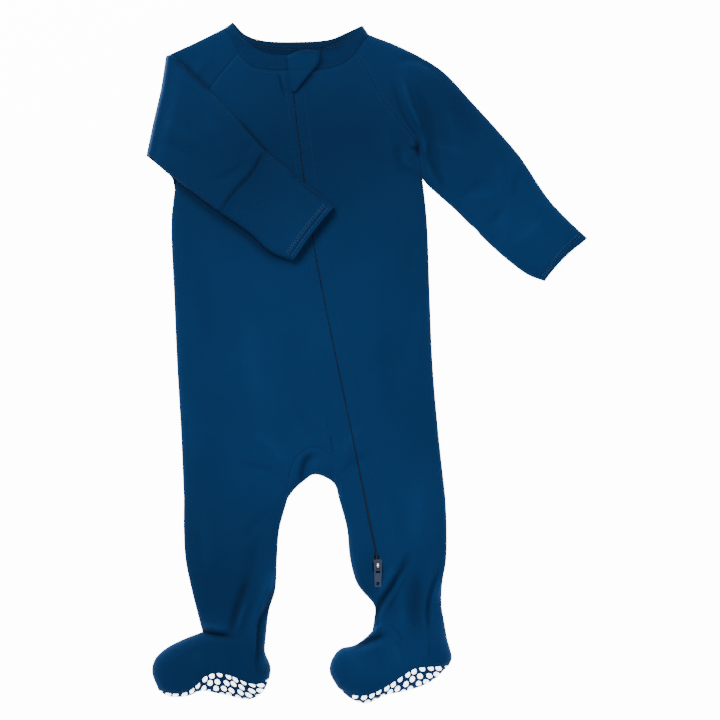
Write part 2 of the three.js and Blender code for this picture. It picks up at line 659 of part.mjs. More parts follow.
sew("front_right", fronts[0], "jersey");
sew("front_left", fronts[1], "jersey");
sew("back", backs[0], "jersey");
sew("gusset", gusset(), "jersey");
sew("sleeve_right", partsOf(without(rightSleeve(), cuts.armholes))[0], "jersey");
sew("sleeve_left", partsOf(without(leftSleeve(), cuts.armholes))[0], "jersey");
const overForearm = [raised(forearmTop, SEAM + CLOTH), raised(forearmTop, SEAM)];
sew("mitten_right", wall(mittenPatches(RIGHT_FOREARM), ...overForearm), "jersey");
sew("mitten_left", flatWall(mittenPatches(LEFT_SLEEVE)), "jersey");
sew("neckband", neckband(), "jersey");
sew("chin_guard", chinGuard(), "jersey");
sew("zip_tape_right", zipStrip(-ZIP.coil / 2 - SEAM - ZIP.tape, -ZIP.coil / 2 - SEAM), "ribbon");
sew("zip_tape_left", zipStrip(ZIP.coil / 2 + SEAM, ZIP.coil / 2 + SEAM + ZIP.tape), "ribbon");
sew("zip_coil", zipStrip(-ZIP.coil / 2, ZIP.coil / 2), "nylon");
sew("slider", slider(), "enamel");
sew("pull_tab", pullTab(), "enamel");
for (const [side, pieces] of Object.entries(FEET)) {
  const { vamp, heel, sole } = foot(ankle[side], pieces);
  sew(`vamp_${side}`, vamp, "jersey");
  sew(`heel_${side}`, heel, "jersey");
  sew(`sole_${side}`, sole, "gripCloth");
}

export default garment;
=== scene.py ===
# A baby's footed zip sleeper in navy jersey, laid flat on its back with the right sleeve folded over the
# chest. Sizes are in millimetres here and go to metres as each piece is made. +Y is towards the neck.
import math

import bmesh
import bpy
import numpy as np
from mathutils import Matrix, Vector
from mathutils.bvhtree import BVHTree


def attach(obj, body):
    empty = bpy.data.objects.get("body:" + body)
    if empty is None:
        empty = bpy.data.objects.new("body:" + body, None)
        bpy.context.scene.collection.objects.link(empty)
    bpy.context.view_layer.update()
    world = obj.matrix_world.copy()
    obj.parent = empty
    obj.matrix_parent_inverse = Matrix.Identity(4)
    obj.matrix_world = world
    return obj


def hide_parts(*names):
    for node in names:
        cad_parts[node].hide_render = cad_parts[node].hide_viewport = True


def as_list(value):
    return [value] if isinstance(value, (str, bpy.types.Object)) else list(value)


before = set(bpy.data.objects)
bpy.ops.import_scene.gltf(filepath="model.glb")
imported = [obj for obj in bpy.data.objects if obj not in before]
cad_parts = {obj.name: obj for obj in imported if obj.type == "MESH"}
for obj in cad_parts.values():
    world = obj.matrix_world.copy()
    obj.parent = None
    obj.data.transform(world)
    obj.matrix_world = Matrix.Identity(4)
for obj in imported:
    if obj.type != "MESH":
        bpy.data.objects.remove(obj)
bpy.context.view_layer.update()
MM = 0.001

# ---------------------------------------------------------------- driving sizes
CLOTH = 0.8  # the jersey as a shell
SEAM_LEVEL = 1.15  # height of the side seams, halfway between front and back
FOLD = 0.65  # from there up to the front's middle, or down to the back's, along an edge
LIP = 2.2  # how far in from an edge the cloth has turned over
ROLL = 12.0  # how far in it has risen to its fullness
FULLNESS = 2.2
FOOT_FULLNESS = 3.6
FOOT_PUFF = 3.2  # how much more the feet fill out in the middle
FOREARM = 5.0  # height of the underside of the folded forearm
SEAM_DIP = 0.38
SEAM_WIDTH = 1.1
CELL = 2.2

# ---------------------------------------------------------------- the layout: (across, up) in millimetres
BODY_RIGHT = [(-169.5, 153), (-172.5, 126), (-170, 60), (-167.5, 0), (-164, -60), (-161.5, -119)]
BODY_LEFT = [(48, 163), (52, 126), (54.5, 60), (57, 0), (62, -60), (68.5, -119)]
RIGHT_LEG_OUTER = [(-161.5, -119), (-161.5, -147), (-160, -173), (-154.5, -200), (-150, -218), (-145, -237)]
RIGHT_LEG_INNER = [(-70.5, -119), (-78, -147), (-80, -173), (-81.5, -200), (-87, -218), (-90, -243.5)]
LEFT_LEG_INNER = [(-25, -119), (-18, -145), (-15, -173), (-8.5, -195), (6.5, -214), (6, -226), (4.5, -236)]
LEFT_LEG_OUTER = [(68.5, -119), (69.5, -145), (69, -173), (65.5, -195), (65, -214), (67, -226), (70, -243.5)]
ZIP_LINE = [
    (-68.5, 270), (-65, 235), (-57.5, 176), (-49, 115), (-36.5, 48), (-14.3, -59), (0.8, -134),
    (8.2, -172), (9.2, -190), (9.4, -212), (9, -236),
]
RIGHT_NECK_END = [(-126, 294.5), (-119.5, 287), (-114, 273)]
RIGHT_RAGLAN = [(-114, 273), (-136, 246), (-154, 215), (-165, 183), (-169.5, 153)]
LEFT_NECK_END = [(1, 289), (-4, 283), (-10, 273)]
LEFT_RAGLAN = [(-10, 273), (0.5, 256), (12, 234), (29.5, 211), (42, 195), (48, 163)]
FRONT_NECK = [
    (-114, 273), (-103, 261.5), (-90, 258), (-62, 257.5), (-34, 259), (-19, 264.5), (-10, 273),
]
BACK_NECK = [
    (-119.5, 287), (-108, 278), (-90, 273), (-62, 271.5), (-33, 273), (-14, 277.5), (-4, 283),
]
FRONT_NECKLINE = [
    (-118.4, 300), (-112.5, 289.5), (-93.7, 274.6), (-72, 271), (-44, 275.5), (-24, 284), (-4.8, 297.4),
]
BACK_NECKLINE = [
    (-118.4, 300), (-107.8, 289.5), (-92.8, 284.2), (-62, 282.9), (-33, 285.1), (-19.8, 290.4),
    (-4.8, 297.4),
]
GUSSET_SEAM = [
    (-70.5, -119), (-68, -96), (-61, -82), (-48, -74.7), (-33, -81.5), (-26, -96), (-25, -119),
]
CROTCH = [
    (-70.5, -119), (-64, -110.5), (-56, -103.5), (-47.5, -98), (-37, -100.5), (-28.5, -107), (-25, -119),
]
LEFT_SLEEVE_TOP = [
    (1, 289), (31, 277), (64.7, 257.8), (90, 231.4), (121.9, 196.2), (134.5, 181), (139.5, 173.5),
    (159.7, 143.4), (178, 124), (193.4, 109.6),
]
LEFT_SLEEVE_UNDER = [
    (48, 163), (54, 156), (64, 147), (77.9, 134.6), (90, 122.5), (96, 117.5), (99, 113.5), (124, 90.5),
    (142, 77.5), (156.2, 72.2),
]
LEFT_CUFF = [(193.4, 109.6), (190.5, 107), (181, 99.4), (170.5, 89.6), (162.4, 80.4), (156.2, 72.2)]
RIGHT_SLEEVE_TOP = [(-126, 294.5), (-147, 284), (-176, 270.5)]
RIGHT_SLEEVE_UNDER = [(-169.5, 153), (-172, 163), (-181, 171.5), (-193.5, 182)]
RIGHT_FOLD = [(-176, 270.5), (-180.8, 240), (-187, 213), (-193.5, 182)]
FOREARM_TOP = [
    (-176, 270.5), (-163.5, 263.5), (-143, 243.5), (-120, 219.5), (-91, 187), (-72, 171.5),
    (-50, 154), (-29.5, 136.8),
]
RIGHT_MITTEN_EDGE = [(-90.3, 186.3), (-101.6, 166), (-115.7, 150.5), (-129.3, 133)]
FOREARM_UNDER = [
    (-193.5, 182), (-179, 169.8), (-160, 155.3), (-145, 144), (-129.8, 132.5), (-105, 115.5), (-84, 97),
    (-65.6, 89.8),
]
RIGHT_CUFF = [(-29.5, 136.8), (-34.8, 131.1), (-49.7, 112.6), (-65.6, 89.8)]
FEET = {
    "right": {
        "ankle_toe": [(-145, -237), (-132, -239), (-119.5, -242)],
        "ankle_heel": [(-119.5, -242), (-105, -243.5), (-90, -243.5)],
        "toe": [(-145, -237), (-162, -243.5), (-178, -252), (-187, -261), (-189.5, -272), (-184, -287.5)],
        "toe_sole": [
            (-184, -287.5), (-172, -290.5), (-160, -289.5), (-150, -283), (-142, -275), (-132, -272.5),
            (-119.5, -275),
        ],
        "heel_sole": [(-119.5, -275), (-104, -281.5), (-95, -282), (-86.5, -277)],
        "heel": [(-90, -243.5), (-90.5, -254), (-85.5, -268), (-86.5, -277)],
        "sole_edge": [
            (-184, -287.5), (-176, -293), (-157, -292.7), (-147, -288.5), (-126, -292), (-103, -295.7),
            (-92, -289), (-86.5, -277),
        ],
    },
    "left": {
        "ankle_toe": [(4.5, -236), (10, -233), (17, -230.5), (25, -235.5), (31, -241.5)],
        "ankle_heel": [(31, -241.5), (50, -243.5), (70, -243.5)],
        "toe": [
            (4.5, -236), (-2, -242.5), (-12, -249), (-24, -252), (-31.5, -262), (-33, -272), (-26, -285.5),
        ],
        "toe_sole": [(-26, -285.5), (-14, -291.5), (-1, -292), (12, -287), (22, -281), (31, -275)],
        "heel_sole": [(31, -275), (42, -268.5), (56, -267), (71.5, -266)],
        "heel": [(70, -243.5), (72.5, -252), (74, -260), (71.5, -266)],
        "sole_edge": [
            (-26, -285.5), (-14, -295.5), (-0.5, -299.5), (15, -292.5), (37, -287.7), (57, -279.5),
            (71.5, -266),
        ],
    },
}
CHIN_GUARD_SEAM = [(-67.8, 239.5), (-69, 252), (-70.8, 270)]
CHIN_GUARD_FREE = [(-63.4, 238.5), (-50.6, 254.3), (-43, 264), (-42, 274.6)]

# ---------------------------------------------------------------- creases, placed one by one
# Each is a path, its width to the left and to the right of the path, and its height: a trough is negative.
FRONT_CREASES = [
    # the left armpit, where the cloth is caught in the seam
    ([(44, 196), (45, 190), (44.5, 182)], 1.2, 1.6, -2.2),
    ([(37, 190), (42, 188), (47, 187)], 1.4, 1.4, -1.6),
    ([(48.5, 199), (51, 192), (50.5, 182)], 2.0, 1.6, 2.2),
    ([(40, 196), (39.5, 190), (41, 182)], 1.6, 1.6, 1.4),
    ([(30, 254), (36, 230), (50.5, 198)], 2.6, 2.0, 3.4),
    ([(39.9, 253), (53.3, 221), (59.4, 192), (66.7, 156)], 2.4, 6.5, -1.7),
    ([(16, 258), (40, 261), (62, 247)], 3.4, 2.4, 1.3),
    ([(20, 264), (44, 267), (68, 252)], 2.2, 3.4, -1.1),
    ([(66, 230), (77, 204), (84, 178)], 4.0, 5.0, 1.2),
    ([(27.6, 196), (29.5, 175), (42.3, 163)], 2.4, 3.6, -1.4),
    ([(33, 188), (35, 175), (43, 168)], 2.6, 2.6, 1.2),
    ([(54.5, 188), (63, 166), (74, 146)], 2.0, 4.5, -1.6),
    ([(52, 178), (57, 165), (66, 151)], 2.0, 2.4, 1.5),
    ([(52, 192), (70, 188), (96, 176)], 3.0, 5.0, 1.0),
    ([(24, 226), (20, 200), (22, 176)], 4.0, 5.0, 0.8),
    # the placket's edges beside the top of the zip
    ([(-78, 254), (-76, 246), (-73, 234)], 0.9, 1.2, -0.9),
    ([(-74.5, 256), (-72.5, 246), (-70.5, 236)], 1.0, 1.0, 0.7),
    # down the left side and across the belly
    ([(53, 120), (40, 96), (30, 66)], 4.0, 7.0, -0.7),
    ([(57, 66), (46, 30), (42, -10)], 5.0, 7.0, 0.8),
    ([(20, 40), (18, -5), (24, -52)], 6.0, 9.0, -0.6),
    ([(-112, 62), (-98, 10), (-92, -48)], 8.0, 10.0, 0.9),
    ([(-148, 96), (-140, 48), (-142, -6)], 6.0, 9.0, -0.7),
    ([(-160, -20), (-150, -60), (-146, -104)], 6.0, 8.0, 0.8),
    ([(-70, 60), (-62, 0), (-40, -52)], 7.0, 10.0, -0.5),
    # from the crotch out over the thighs
    ([(-72, -106), (-92, -94), (-118, -90)], 2.6, 5.0, -0.9),
    ([(-70, -96), (-84, -76), (-104, -62)], 3.0, 6.0, 0.9),
    ([(-48, -72), (-54, -54), (-66, -34)], 2.4, 3.6, -0.7),
    ([(-24, -100), (-10, -86), (8, -78)], 2.4, 5.0, -0.9),
    ([(-26, -88), (-14, -68), (0, -52)], 3.0, 5.0, 0.8),
    ([(-80, -128), (-96, -140), (-110, -160)], 3.0, 5.0, -0.7),
    ([(-146, -124), (-138, -160), (-140, -196)], 5.0, 7.0, 0.8),
    ([(-96, -150), (-102, -180), (-110, -206)], 4.0, 6.0, -0.7),
    ([(52, -96), (46, -136), (48, -176)], 5.0, 8.0, 0.8),
    ([(22, -110), (30, -140), (32, -172)], 5.0, 6.0, -0.6),
    # the right ankle: the leg sinks into a tuck over the instep
    ([(-147, -235.5), (-133, -238.3), (-119, -239.5)], 1.0, 3.4, -2.4),
    ([(-147, -230.5), (-134, -233.5), (-121, -235)], 2.4, 2.0, 2.2),
    ([(-119.5, -241), (-117.5, -227), (-112, -210), (-104, -186)], 3.6, 1.5, -2.4),
    ([(-116, -240), (-112, -224), (-106.5, -208)], 1.4, 4.0, 2.2),
    ([(-78.5, -188), (-86, -212), (-95, -231), (-96.5, -254), (-97, -277)], 1.3, 1.8, -2.2),
    ([(-83, -184), (-91, -206), (-99, -230), (-100, -258)], 1.6, 3.6, 1.9),
    ([(-85, -214), (-89, -228), (-90.5, -240)], 1.6, 2.2, 1.7),
    ([(-85, -182), (-86, -192), (-88, -204)], 3.0, 2.6, 1.4),
    ([(-87.5, -252), (-92, -260), (-95, -270)], 1.8, 1.8, 1.5),
    ([(-91.5, -250), (-93.5, -258), (-95.5, -266)], 1.0, 1.2, -1.2),
    # the left ankle: the front bulges over the instep beside the zip
    ([(36, -168), (30, -182), (22, -196), (14, -208), (9, -217), (5, -228), (2.5, -237)], 3.6, 1.5, -2.3),
    ([(24, -178), (17, -194), (8, -208)], 3.4, 3.6, 2.6),
    ([(34, -180), (27, -197), (19, -210), (13, -224)], 1.6, 4.0, 2.4),
    ([(-13, -249.5), (0, -244.5), (16, -239)], 1.2, 4.4, -2.6),
    ([(3, -239), (8, -234.5), (16, -231)], 1.6, 1.6, 1.6),
    ([(18, -231), (26, -236), (30, -243), (31, -250)], 1.2, 1.8, -0.9),
    ([(46, -180), (43, -206), (43, -240)], 5.6, 5.6, -1.6),
    ([(30, -190), (31, -216), (33, -240)], 3.6, 3.6, 1.3),
    ([(64, -180), (58, -199), (54, -214), (53.5, -238)], 1.0, 1.8, -2.2),
    ([(50, -202), (50, -222), (50.5, -240)], 1.2, 1.2, 1.6),
    ([(67, -188), (61.5, -200), (57.5, -214)], 2.6, 2.6, 2.3),
    ([(54, -244), (54.5, -254), (55, -262)], 1.0, 1.4, -1.2),
    ([(51.5, -244), (52, -256), (52.5, -264)], 1.2, 1.2, 0.9),
    # the feet
    ([(-152, -252), (-146, -264), (-146, -276)], 5.0, 7.0, 0.8),
    ([(6, -250), (12, -262), (14, -276)], 4.0, 6.0, -0.8),
    ([(-20, -258), (-8, -268), (-4, -282)], 5.0, 7.0, 0.9),
    ([(20, -246), (26, -256), (30, -270)], 3.0, 3.4, 0.9),
]
GUSSET_CREASES = [
    ([(-47, -80), (-54, -86), (-57, -94), (-59, -106)], 1.6, 3.0, -1.5),
    ([(-42, -84), (-46, -92), (-48, -99)], 2.4, 3.0, 1.0),
    ([(-33, -86), (-31, -96), (-31, -106)], 1.8, 2.4, -0.8),
]
SLEEVE_CREASES = [
    ([(70, 236), (88, 214), (104, 190)], 5.0, 7.0, -0.9),
    ([(84, 150), (98, 146), (116, 150)], 3.0, 5.0, 1.0),
    ([(72, 146), (88, 150), (106, 164)], 2.6, 4.0, -0.9),
    ([(112, 176), (118, 160), (116, 140)], 3.6, 5.0, 0.8),
    ([(100, 118), (112, 126), (120, 140)], 2.2, 3.0, -0.9),
    ([(138, 170), (132, 158), (128, 140)], 2.2, 4.0, -0.8),
    ([(126, 104), (140, 112), (156, 126)], 4.0, 5.0, 0.7),
    ([(150, 140), (158, 124), (164, 108)], 4.0, 5.0, -0.6),
    ([(166, 120), (172, 106), (170, 92)], 3.0, 3.0, 0.6),
]
FOREARM_CREASES = [
    ([(-168, 250), (-150, 232), (-136, 208)], 4.0, 6.0, -1.0),
    ([(-184, 214), (-166, 204), (-148, 186)], 3.4, 5.0, 1.0),
    ([(-186, 196), (-170, 190), (-158, 178)], 2.2, 3.6, -1.1),
    ([(-150, 214), (-132, 196), (-118, 176)], 5.0, 6.0, 0.8),
    ([(-140, 160), (-124, 164), (-108, 176)], 2.6, 4.6, -0.9),
    ([(-118, 214), (-108, 200), (-100, 182)], 3.0, 4.0, -0.8),
    ([(-97, 198), (-104, 188), (-110, 184)], 1.4, 1.8, -1.0),
]
SHOULDER_CREASES = [
    ([(-148, 280), (-154, 262), (-166, 246)], 3.0, 4.0, -0.6),
    ([(-134, 276), (-146, 260), (-160, 236)], 3.0, 4.0, 0.6),
]
BACK_CREASES = [
    ([(-150, 110), (-130, 60), (-134, 0)], 6.0, 8.0, 0.7),
    ([(-90, 160), (-84, 110), (-92, 60)], 6.0, 8.0, 0.6),
    ([(-30, 180), (-20, 120), (-26, 70)], 6.0, 7.0, 0.7),
    ([(30, 150), (24, 96), (34, 40)], 5.0, 7.0, 0.7),
    ([(-60, 60), (-50, 0), (-62, -56)], 7.0, 8.0, 0.6),
    ([(-74, -108), (-100, -92), (-128, -84)], 3.0, 5.0, 0.8),
    ([(-22, -104), (4, -90), (30, -84)], 3.0, 5.0, 0.8),
    ([(-110, -130), (-116, -170), (-112, -210)], 5.0, 6.0, 0.7),
    ([(-140, -150), (-136, -190), (-130, -226)], 4.0, 5.0, 0.7),
    ([(30, -120), (36, -160), (34, -200)], 5.0, 6.0, 0.7),
    ([(56, -150), (54, -190), (56, -226)], 3.6, 5.0, 0.7),
    ([(-20, 10), (4, -20), (36, -34)], 4.0, 6.0, 0.6),
    ([(-150, -40), (-130, -54), (-104, -56)], 4.0, 6.0, 0.6),
]

# Broad swells of the front: middle across and up, half widths across and up, height.
SWELLS = [
    (-110, 20, 44, 70, 1.1),
    (-10, 40, 40, 60, 1.0),
    (-60, -30, 46, 44, 1.2),
    (-118, -80, 34, 40, 1.0),
    (24, -70, 30, 44, 1.1),
    (-8, 205, 26, 34, 0.9),
    (-118, -170, 24, 36, 1.0),
    (34, -150, 24, 32, 1.0),
    (-6, -178, 10, 26, 2.2),
]
# Painted light and shade: how much lighter or darker the navy is painted from place to place, for the way light
# falls over the garment: middle, half widths, amount.
PAINTED_LIGHT = [
    (-60, 10, 110, 90, 0.22),
    (-60, -90, 70, 50, 0.24),
    (-10, 200, 70, 56, -0.20),
    (-108, 178, 74, 60, -0.22),
    (72, 226, 44, 36, -0.18),
    (30, -140, 50, 60, 0.30),
    (20, -262, 55, 36, 0.36),
    (-130, -215, 50, 60, -0.12),
    (140, 120, 60, 50, 0.26),
    (60, 250, 60, 40, 0.05),
    (-84, -195, 12, 30, 0.25),
    (60, -200, 12, 26, 0.16),
]
# Where cloth lies in the shade of a fold: path, width and how dark.
SHADES = [
    ([(-147, -235.5), (-133, -238.5), (-119, -240)], 2.4, 0.48),
    ([(-120, -240), (-115, -222), (-109, -204), (-104, -188)], 3.2, 0.26),
    ([(36, -168), (28, -186), (20, -199), (14, -208), (9, -218)], 3.0, 0.34),
    ([(10, -214), (5, -228), (2.5, -238)], 2.2, 0.50),
    ([(-90.3, 188), (-102.8, 167), (-117, 151.5), (-130.5, 134)], 1.3, 0.55),
    ([(-13, -250), (0, -244), (16, -238)], 2.8, 0.55),
    ([(-81, -192), (-88, -214), (-95, -232), (-97, -256), (-97, -274)], 2.2, 0.35),
    ([(62, -184), (56, -202), (53.5, -216), (54, -238)], 2.0, 0.30),
    ([(44, -188), (43, -214), (44, -240)], 7.0, 0.16),
    ([(44, 196), (45, 190), (44.5, 182)], 1.8, 0.50),
    ([(37, 190), (42, 188), (47, 187)], 1.6, 0.32),
    ([(-78, 254), (-76, 246), (-73, 234)], 1.0, 0.30),
    ([(20, 250), (33, 215), (46, 196)], 1.2, 0.25),
    ([(-47, -80), (-54, -86), (-57, -94), (-59, -106)], 2.6, 0.45),
    ([(-193, 176), (-160, 151), (-129.8, 128), (-105, 111), (-84, 93), (-66, 86)], 3.6, 0.42),
    ([(-63, 88), (-46, 112), (-27, 136)], 2.6, 0.35),
    ([(-61, 240), (-49, 254), (-41, 264), (-40, 273)], 2.2, 0.45),
    # inside the back of the neck
    ([(-113, 288), (-92, 279), (-62, 277), (-33, 279), (-11, 288)], 4.6, 0.42),
    # the hems of both cuffs
    ([(188.8, 113.4), (170, 94.8), (152.8, 77.6)], 1.1, 0.42),
    ([(-33.6, 140), (-53, 116), (-69.8, 93.8)], 1.1, 0.30),
    # the hollow beside the folded sleeve's top corner
    ([(-172, 268.5), (-162, 261.5), (-150, 250), (-138, 238)], 2.4, 0.45),
    ([(-112, 213), (-98, 197), (-86, 184)], 1.6, 0.35),
    ([(-70, 168), (-52, 153), (-36, 140)], 1.6, 0.25),
]


# ---------------------------------------------------------------- lines and patches in plan
def even(count):
    return np.linspace(0, 1, count + 1)


def curve(points):
    """A smooth line through points, close-set enough to measure along."""
    ends = np.array(points, float)
    whole = np.vstack([2 * ends[0] - ends[1], ends, 2 * ends[-1] - ends[-2]])
    t = np.linspace(0, 1, 17)[:, None]
    spans = []
    for a, b, c, d in zip(whole, whole[1:], whole[2:], whole[3:]):
        ab, bc, cd = (np.linalg.norm(q - p) ** 0.5 for p, q in ((a, b), (b, c), (c, d)))
        leave = ((b - a) / ab - (c - a) / (ab + bc) + (c - b) / bc) * bc
        arrive = ((c - b) / bc - (d - b) / (bc + cd) + (d - c) / cd) * bc
        mix = 3 * t**2 - 2 * t**3
        spans.append((1 - mix) * b + (t**3 - 2 * t**2 + t) * leave + mix * c + (t**3 - t**2) * arrive)
    return np.vstack([spans[0]] + [span[1:] for span in spans[1:]])


def along(line):
    steps = np.linalg.norm(np.diff(line, axis=0), axis=1)
    return np.concatenate([[0], np.cumsum(steps)]) / steps.sum()


def length(line):
    return np.linalg.norm(np.diff(line, axis=0), axis=1).sum()


def sample(line, fractions):
    places = along(line)
    return np.column_stack([np.interp(fractions, places, line[:, k]) for k in range(line.shape[1])])


def run(points, fractions):
    return sample(curve(points), fractions)


def with_corners(line, corners):
    """A line whose nearest point to each corner is moved onto it."""
    for corner in corners:
        line[np.linalg.norm(line - corner, axis=1).argmin()] = corner
    return line


def chain(*lines):
    return np.vstack([lines[0]] + [line[1:] for line in lines[1:]])


def spread(size, cell, start, end):
    """Fractions across a cloth, closer together where it turns over at its start or end."""
    turn = np.array([0, 0.12, 0.45, 1.0, 1.8, 3.0, 4.8])
    low = turn if start else np.array([0.0])
    high = size - turn[::-1] if end else np.array([size])
    middle = np.linspace(low[-1], high[0], max(2, round((high[0] - low[-1]) / cell) + 1))[1:-1]
    return np.concatenate([low, middle, high]) / size


def patch(first, last, left, right):
    """A net that fills four lines: first and last go across, left and right join their ends."""
    v = ((along(left) + along(right)) / 2)[:, None]
    u = (along(first) * (1 - v) + along(last) * v)[..., None]
    v = v[..., None]
    ruled = first * (1 - v) + last * v + left[:, None] * (1 - u) + right[:, None] * u
    corners = (first[0] * (1 - u) + first[-1] * u) * (1 - v) + (last[0] * (1 - u) + last[-1] * u) * v
    return ruled - corners


# ---------------------------------------------------------------- distances, rolls and creases
class Lines:
    """Several lines in plan, which points can be measured from."""

    def __init__(self, lines):
        self.start = np.vstack([line[:-1] for line in lines])
        self.step = np.vstack([np.diff(line, axis=0) for line in lines])
        self.square = (self.step**2).sum(1)

    def distance(self, xy):
        found = []
        for some in np.array_split(xy, max(1, len(xy) // 2000)):
            gap = some[:, None] - self.start
            t = np.clip((gap * self.step).sum(2) / self.square, 0, 1)
            found.append(np.linalg.norm(gap - t[..., None] * self.step, axis=2).min(1))
        return np.concatenate(found)


def coarse(points):
    return run(points, even(5 * len(points)))


foot_edges = [foot[name] for foot in FEET.values() for name in ("toe", "sole_edge", "heel")]
OUTER = Lines([
    coarse(points)
    for points in [
        RIGHT_SLEEVE_TOP, RIGHT_SLEEVE_UNDER, BODY_RIGHT, RIGHT_LEG_OUTER, RIGHT_LEG_INNER, CROTCH,
        LEFT_LEG_INNER, BODY_LEFT, LEFT_LEG_OUTER, LEFT_SLEEVE_TOP, LEFT_SLEEVE_UNDER, *foot_edges,
    ]
])
FOREARM_EDGES = Lines([coarse(FOREARM_TOP), coarse(FOREARM_UNDER)])


def quarter(t):
    return np.sqrt(1 - (1 - np.clip(t, 0, 1)) ** 2)


def ease(t):
    t = np.clip(t, 0, 1)
    return t * t * (3 - 2 * t)


def near_line(xy, path):
    """Distance from a path, on which side, and how far along it, for points close to it."""
    line = sample(curve(path), even(24))
    step = np.diff(line, axis=0)
    gap = xy[:, None] - line[:-1]
    t = np.clip((gap * step).sum(2) / (step**2).sum(1), 0, 1)
    away = gap - t[..., None] * step
    distance = np.linalg.norm(away, axis=2)
    best = distance.argmin(1)
    rows = np.arange(len(xy))
    away, step = away[rows, best], step[best]
    side = step[:, 0] * away[:, 1] - step[:, 1] * away[:, 0]
    return distance[rows, best], side > 0, (best + t[rows, best]) / (len(line) - 1)


def relief(xy, creases):
    height = np.zeros(len(xy))
    for path, left, right, depth in creases:
        ends = np.array(path)
        reach = 2.6 * max(left, right)
        close = ((xy > ends.min(0) - reach) & (xy < ends.max(0) + reach)).all(1)
        if close.any():
            distance, on_left, place = near_line(xy[close], path)
            width = np.where(on_left, left, right)
            taper = ease(place / 0.35) * ease((1 - place) / 0.35)
            height[close] += depth * np.exp(-((distance / width) ** 2)) * (0.12 + 0.88 * taper)
    return height


def hills(xy, table):
    total = np.zeros(len(xy))
    for across, up, half_across, half_up, amount in table:
        total += amount * np.exp(-(((xy[:, 0] - across) / half_across) ** 2) - ((xy[:, 1] - up) / half_up) ** 2)
    return total


def ripple(xy, size):
    """The small unevenness of cloth that lies loose."""
    x, y = xy[:, 0] / size, xy[:, 1] / size
    waves = np.sin(0.31 * x + 0.17 * y + 1.3) * np.sin(0.23 * y - 0.11 * x + 0.4)
    return waves + 0.5 * np.sin(0.71 * x - 0.29 * y + 2.1) * np.sin(0.13 * x + 0.57 * y)


# ---------------------------------------------------------------- seams that neighbours share
raglan = {"right": run(RIGHT_RAGLAN, even(62)), "left": run(LEFT_RAGLAN, even(62))}
neck_end = {"right": run(RIGHT_NECK_END, even(10)), "left": run(LEFT_NECK_END, even(8))}
zip_fine = curve(ZIP_LINE)


def zip_across(up):
    return np.interp(-np.asarray(up, float), -zip_fine[:, 1], zip_fine[:, 0])


SLIDER_UP, SLIDER_LENGTH, SLIDER_ACROSS = -178.0, 10.0, 9.2
SLIDER_GAP, SEWN_GAP = 4.3, 0.08  # half the gap between the fronts, at the slider and below it
NECK_GAP = 1.03  # the same at the neck's seam


def slot_half(up):
    """Half the gap between the two fronts, which opens round the slider and closes below it."""
    past_slider = np.abs(up - SLIDER_UP) - SLIDER_LENGTH / 2
    open_part = 0.42 + 0.5 * ease((-60 - np.asarray(up)) / 110)
    plain = np.where(up > SLIDER_UP, open_part, SEWN_GAP)
    return SLIDER_GAP + (plain - SLIDER_GAP) * ease(past_slider / (SLIDER_LENGTH / 2))


def zip_side(side, top, bottom, count):
    up = np.linspace(top, bottom, count + 1)
    return np.column_stack([zip_across(up) + side * 1.03 * slot_half(up), up])


def seam_lines():
    lines = [raglan["right"], raglan["left"], *neck_end.values()]
    lines += [run(GUSSET_SEAM, even(40)), run(FRONT_NECK, even(40))]
    for foot in FEET.values():
        lines += [run(foot[name], even(16)) for name in ("toe_sole", "heel_sole")]
    return Lines(lines)


def faint_seam_lines():
    lines = []
    for foot in FEET.values():
        lines += [run(foot[name], even(16)) for name in ("ankle_toe", "ankle_heel")]
        lines.append(run([foot["ankle_toe"][-1], foot["toe_sole"][-1]], even(8)))
    return Lines(lines)


SEAMS, FAINT_SEAMS = seam_lines(), faint_seam_lines()
UNDER_FOREARM = np.array(FOREARM_TOP + FOREARM_UNDER[::-1])


def inside(xy, outline):
    """Which points lie inside an outline in plan."""
    result = np.zeros(len(xy), bool)
    x, y = xy[:, 0], xy[:, 1]
    for (ax, ay), (bx, by) in zip(outline, np.roll(outline, 1, axis=0)):
        if ay != by:
            result ^= ((ay > y) != (by > y)) & (x < (bx - ax) * (y - ay) / (by - ay) + ax)
    return result


def pressed(xy):
    """0 under the folded forearm, where the chest is held flat, and 1 well away from it."""
    away = FOREARM_EDGES.distance(xy)
    return np.where(inside(xy, UNDER_FOREARM), 0.0, ease(away / 9))


# ---------------------------------------------------------------- heights of the lying cloth
def fullness(up):
    return FOOT_FULLNESS + (FULLNESS - FOOT_FULLNESS) * ease((up + 243) / 53)


ALL_FRONT = FRONT_CREASES + GUSSET_CREASES + SLEEVE_CREASES


def front_height(xy, meets=0.0):
    """Middle of the front's cloth. meets is how far it stops above the side seam."""
    away = OUTER.distance(xy)
    roll = quarter(away / ROLL)
    lip = meets + (FOLD - meets) * quarter(away / LIP)
    puff = FOOT_PUFF * ease((-214 - xy[:, 1]) / 34) * quarter(away / 26)
    loose = hills(xy, SWELLS) + relief(xy, ALL_FRONT) + 0.22 * ripple(xy, 7)
    dip = SEAM_DIP * np.exp(-((SEAMS.distance(xy) / SEAM_WIDTH) ** 2))
    dip += 0.18 * np.exp(-((FAINT_SEAMS.distance(xy) / 0.9) ** 2))
    lift = np.maximum(loose, -1.9) * roll * pressed(xy)
    return SEAM_LEVEL + lip + fullness(xy[:, 1]) * roll + puff + lift - dip * quarter(away / 4)


def back_height(xy, meets=0.0):
    away = OUTER.distance(xy)
    lip = meets + (FOLD - meets) * quarter(away / LIP)
    loose = relief(xy, BACK_CREASES) + 0.08 * (1 + ripple(xy, 9))
    dip = 0.25 * np.exp(-((SEAMS.distance(xy) / SEAM_WIDTH) ** 2))
    return SEAM_LEVEL - lip + (np.maximum(loose, 0) + dip) * quarter(away / ROLL)


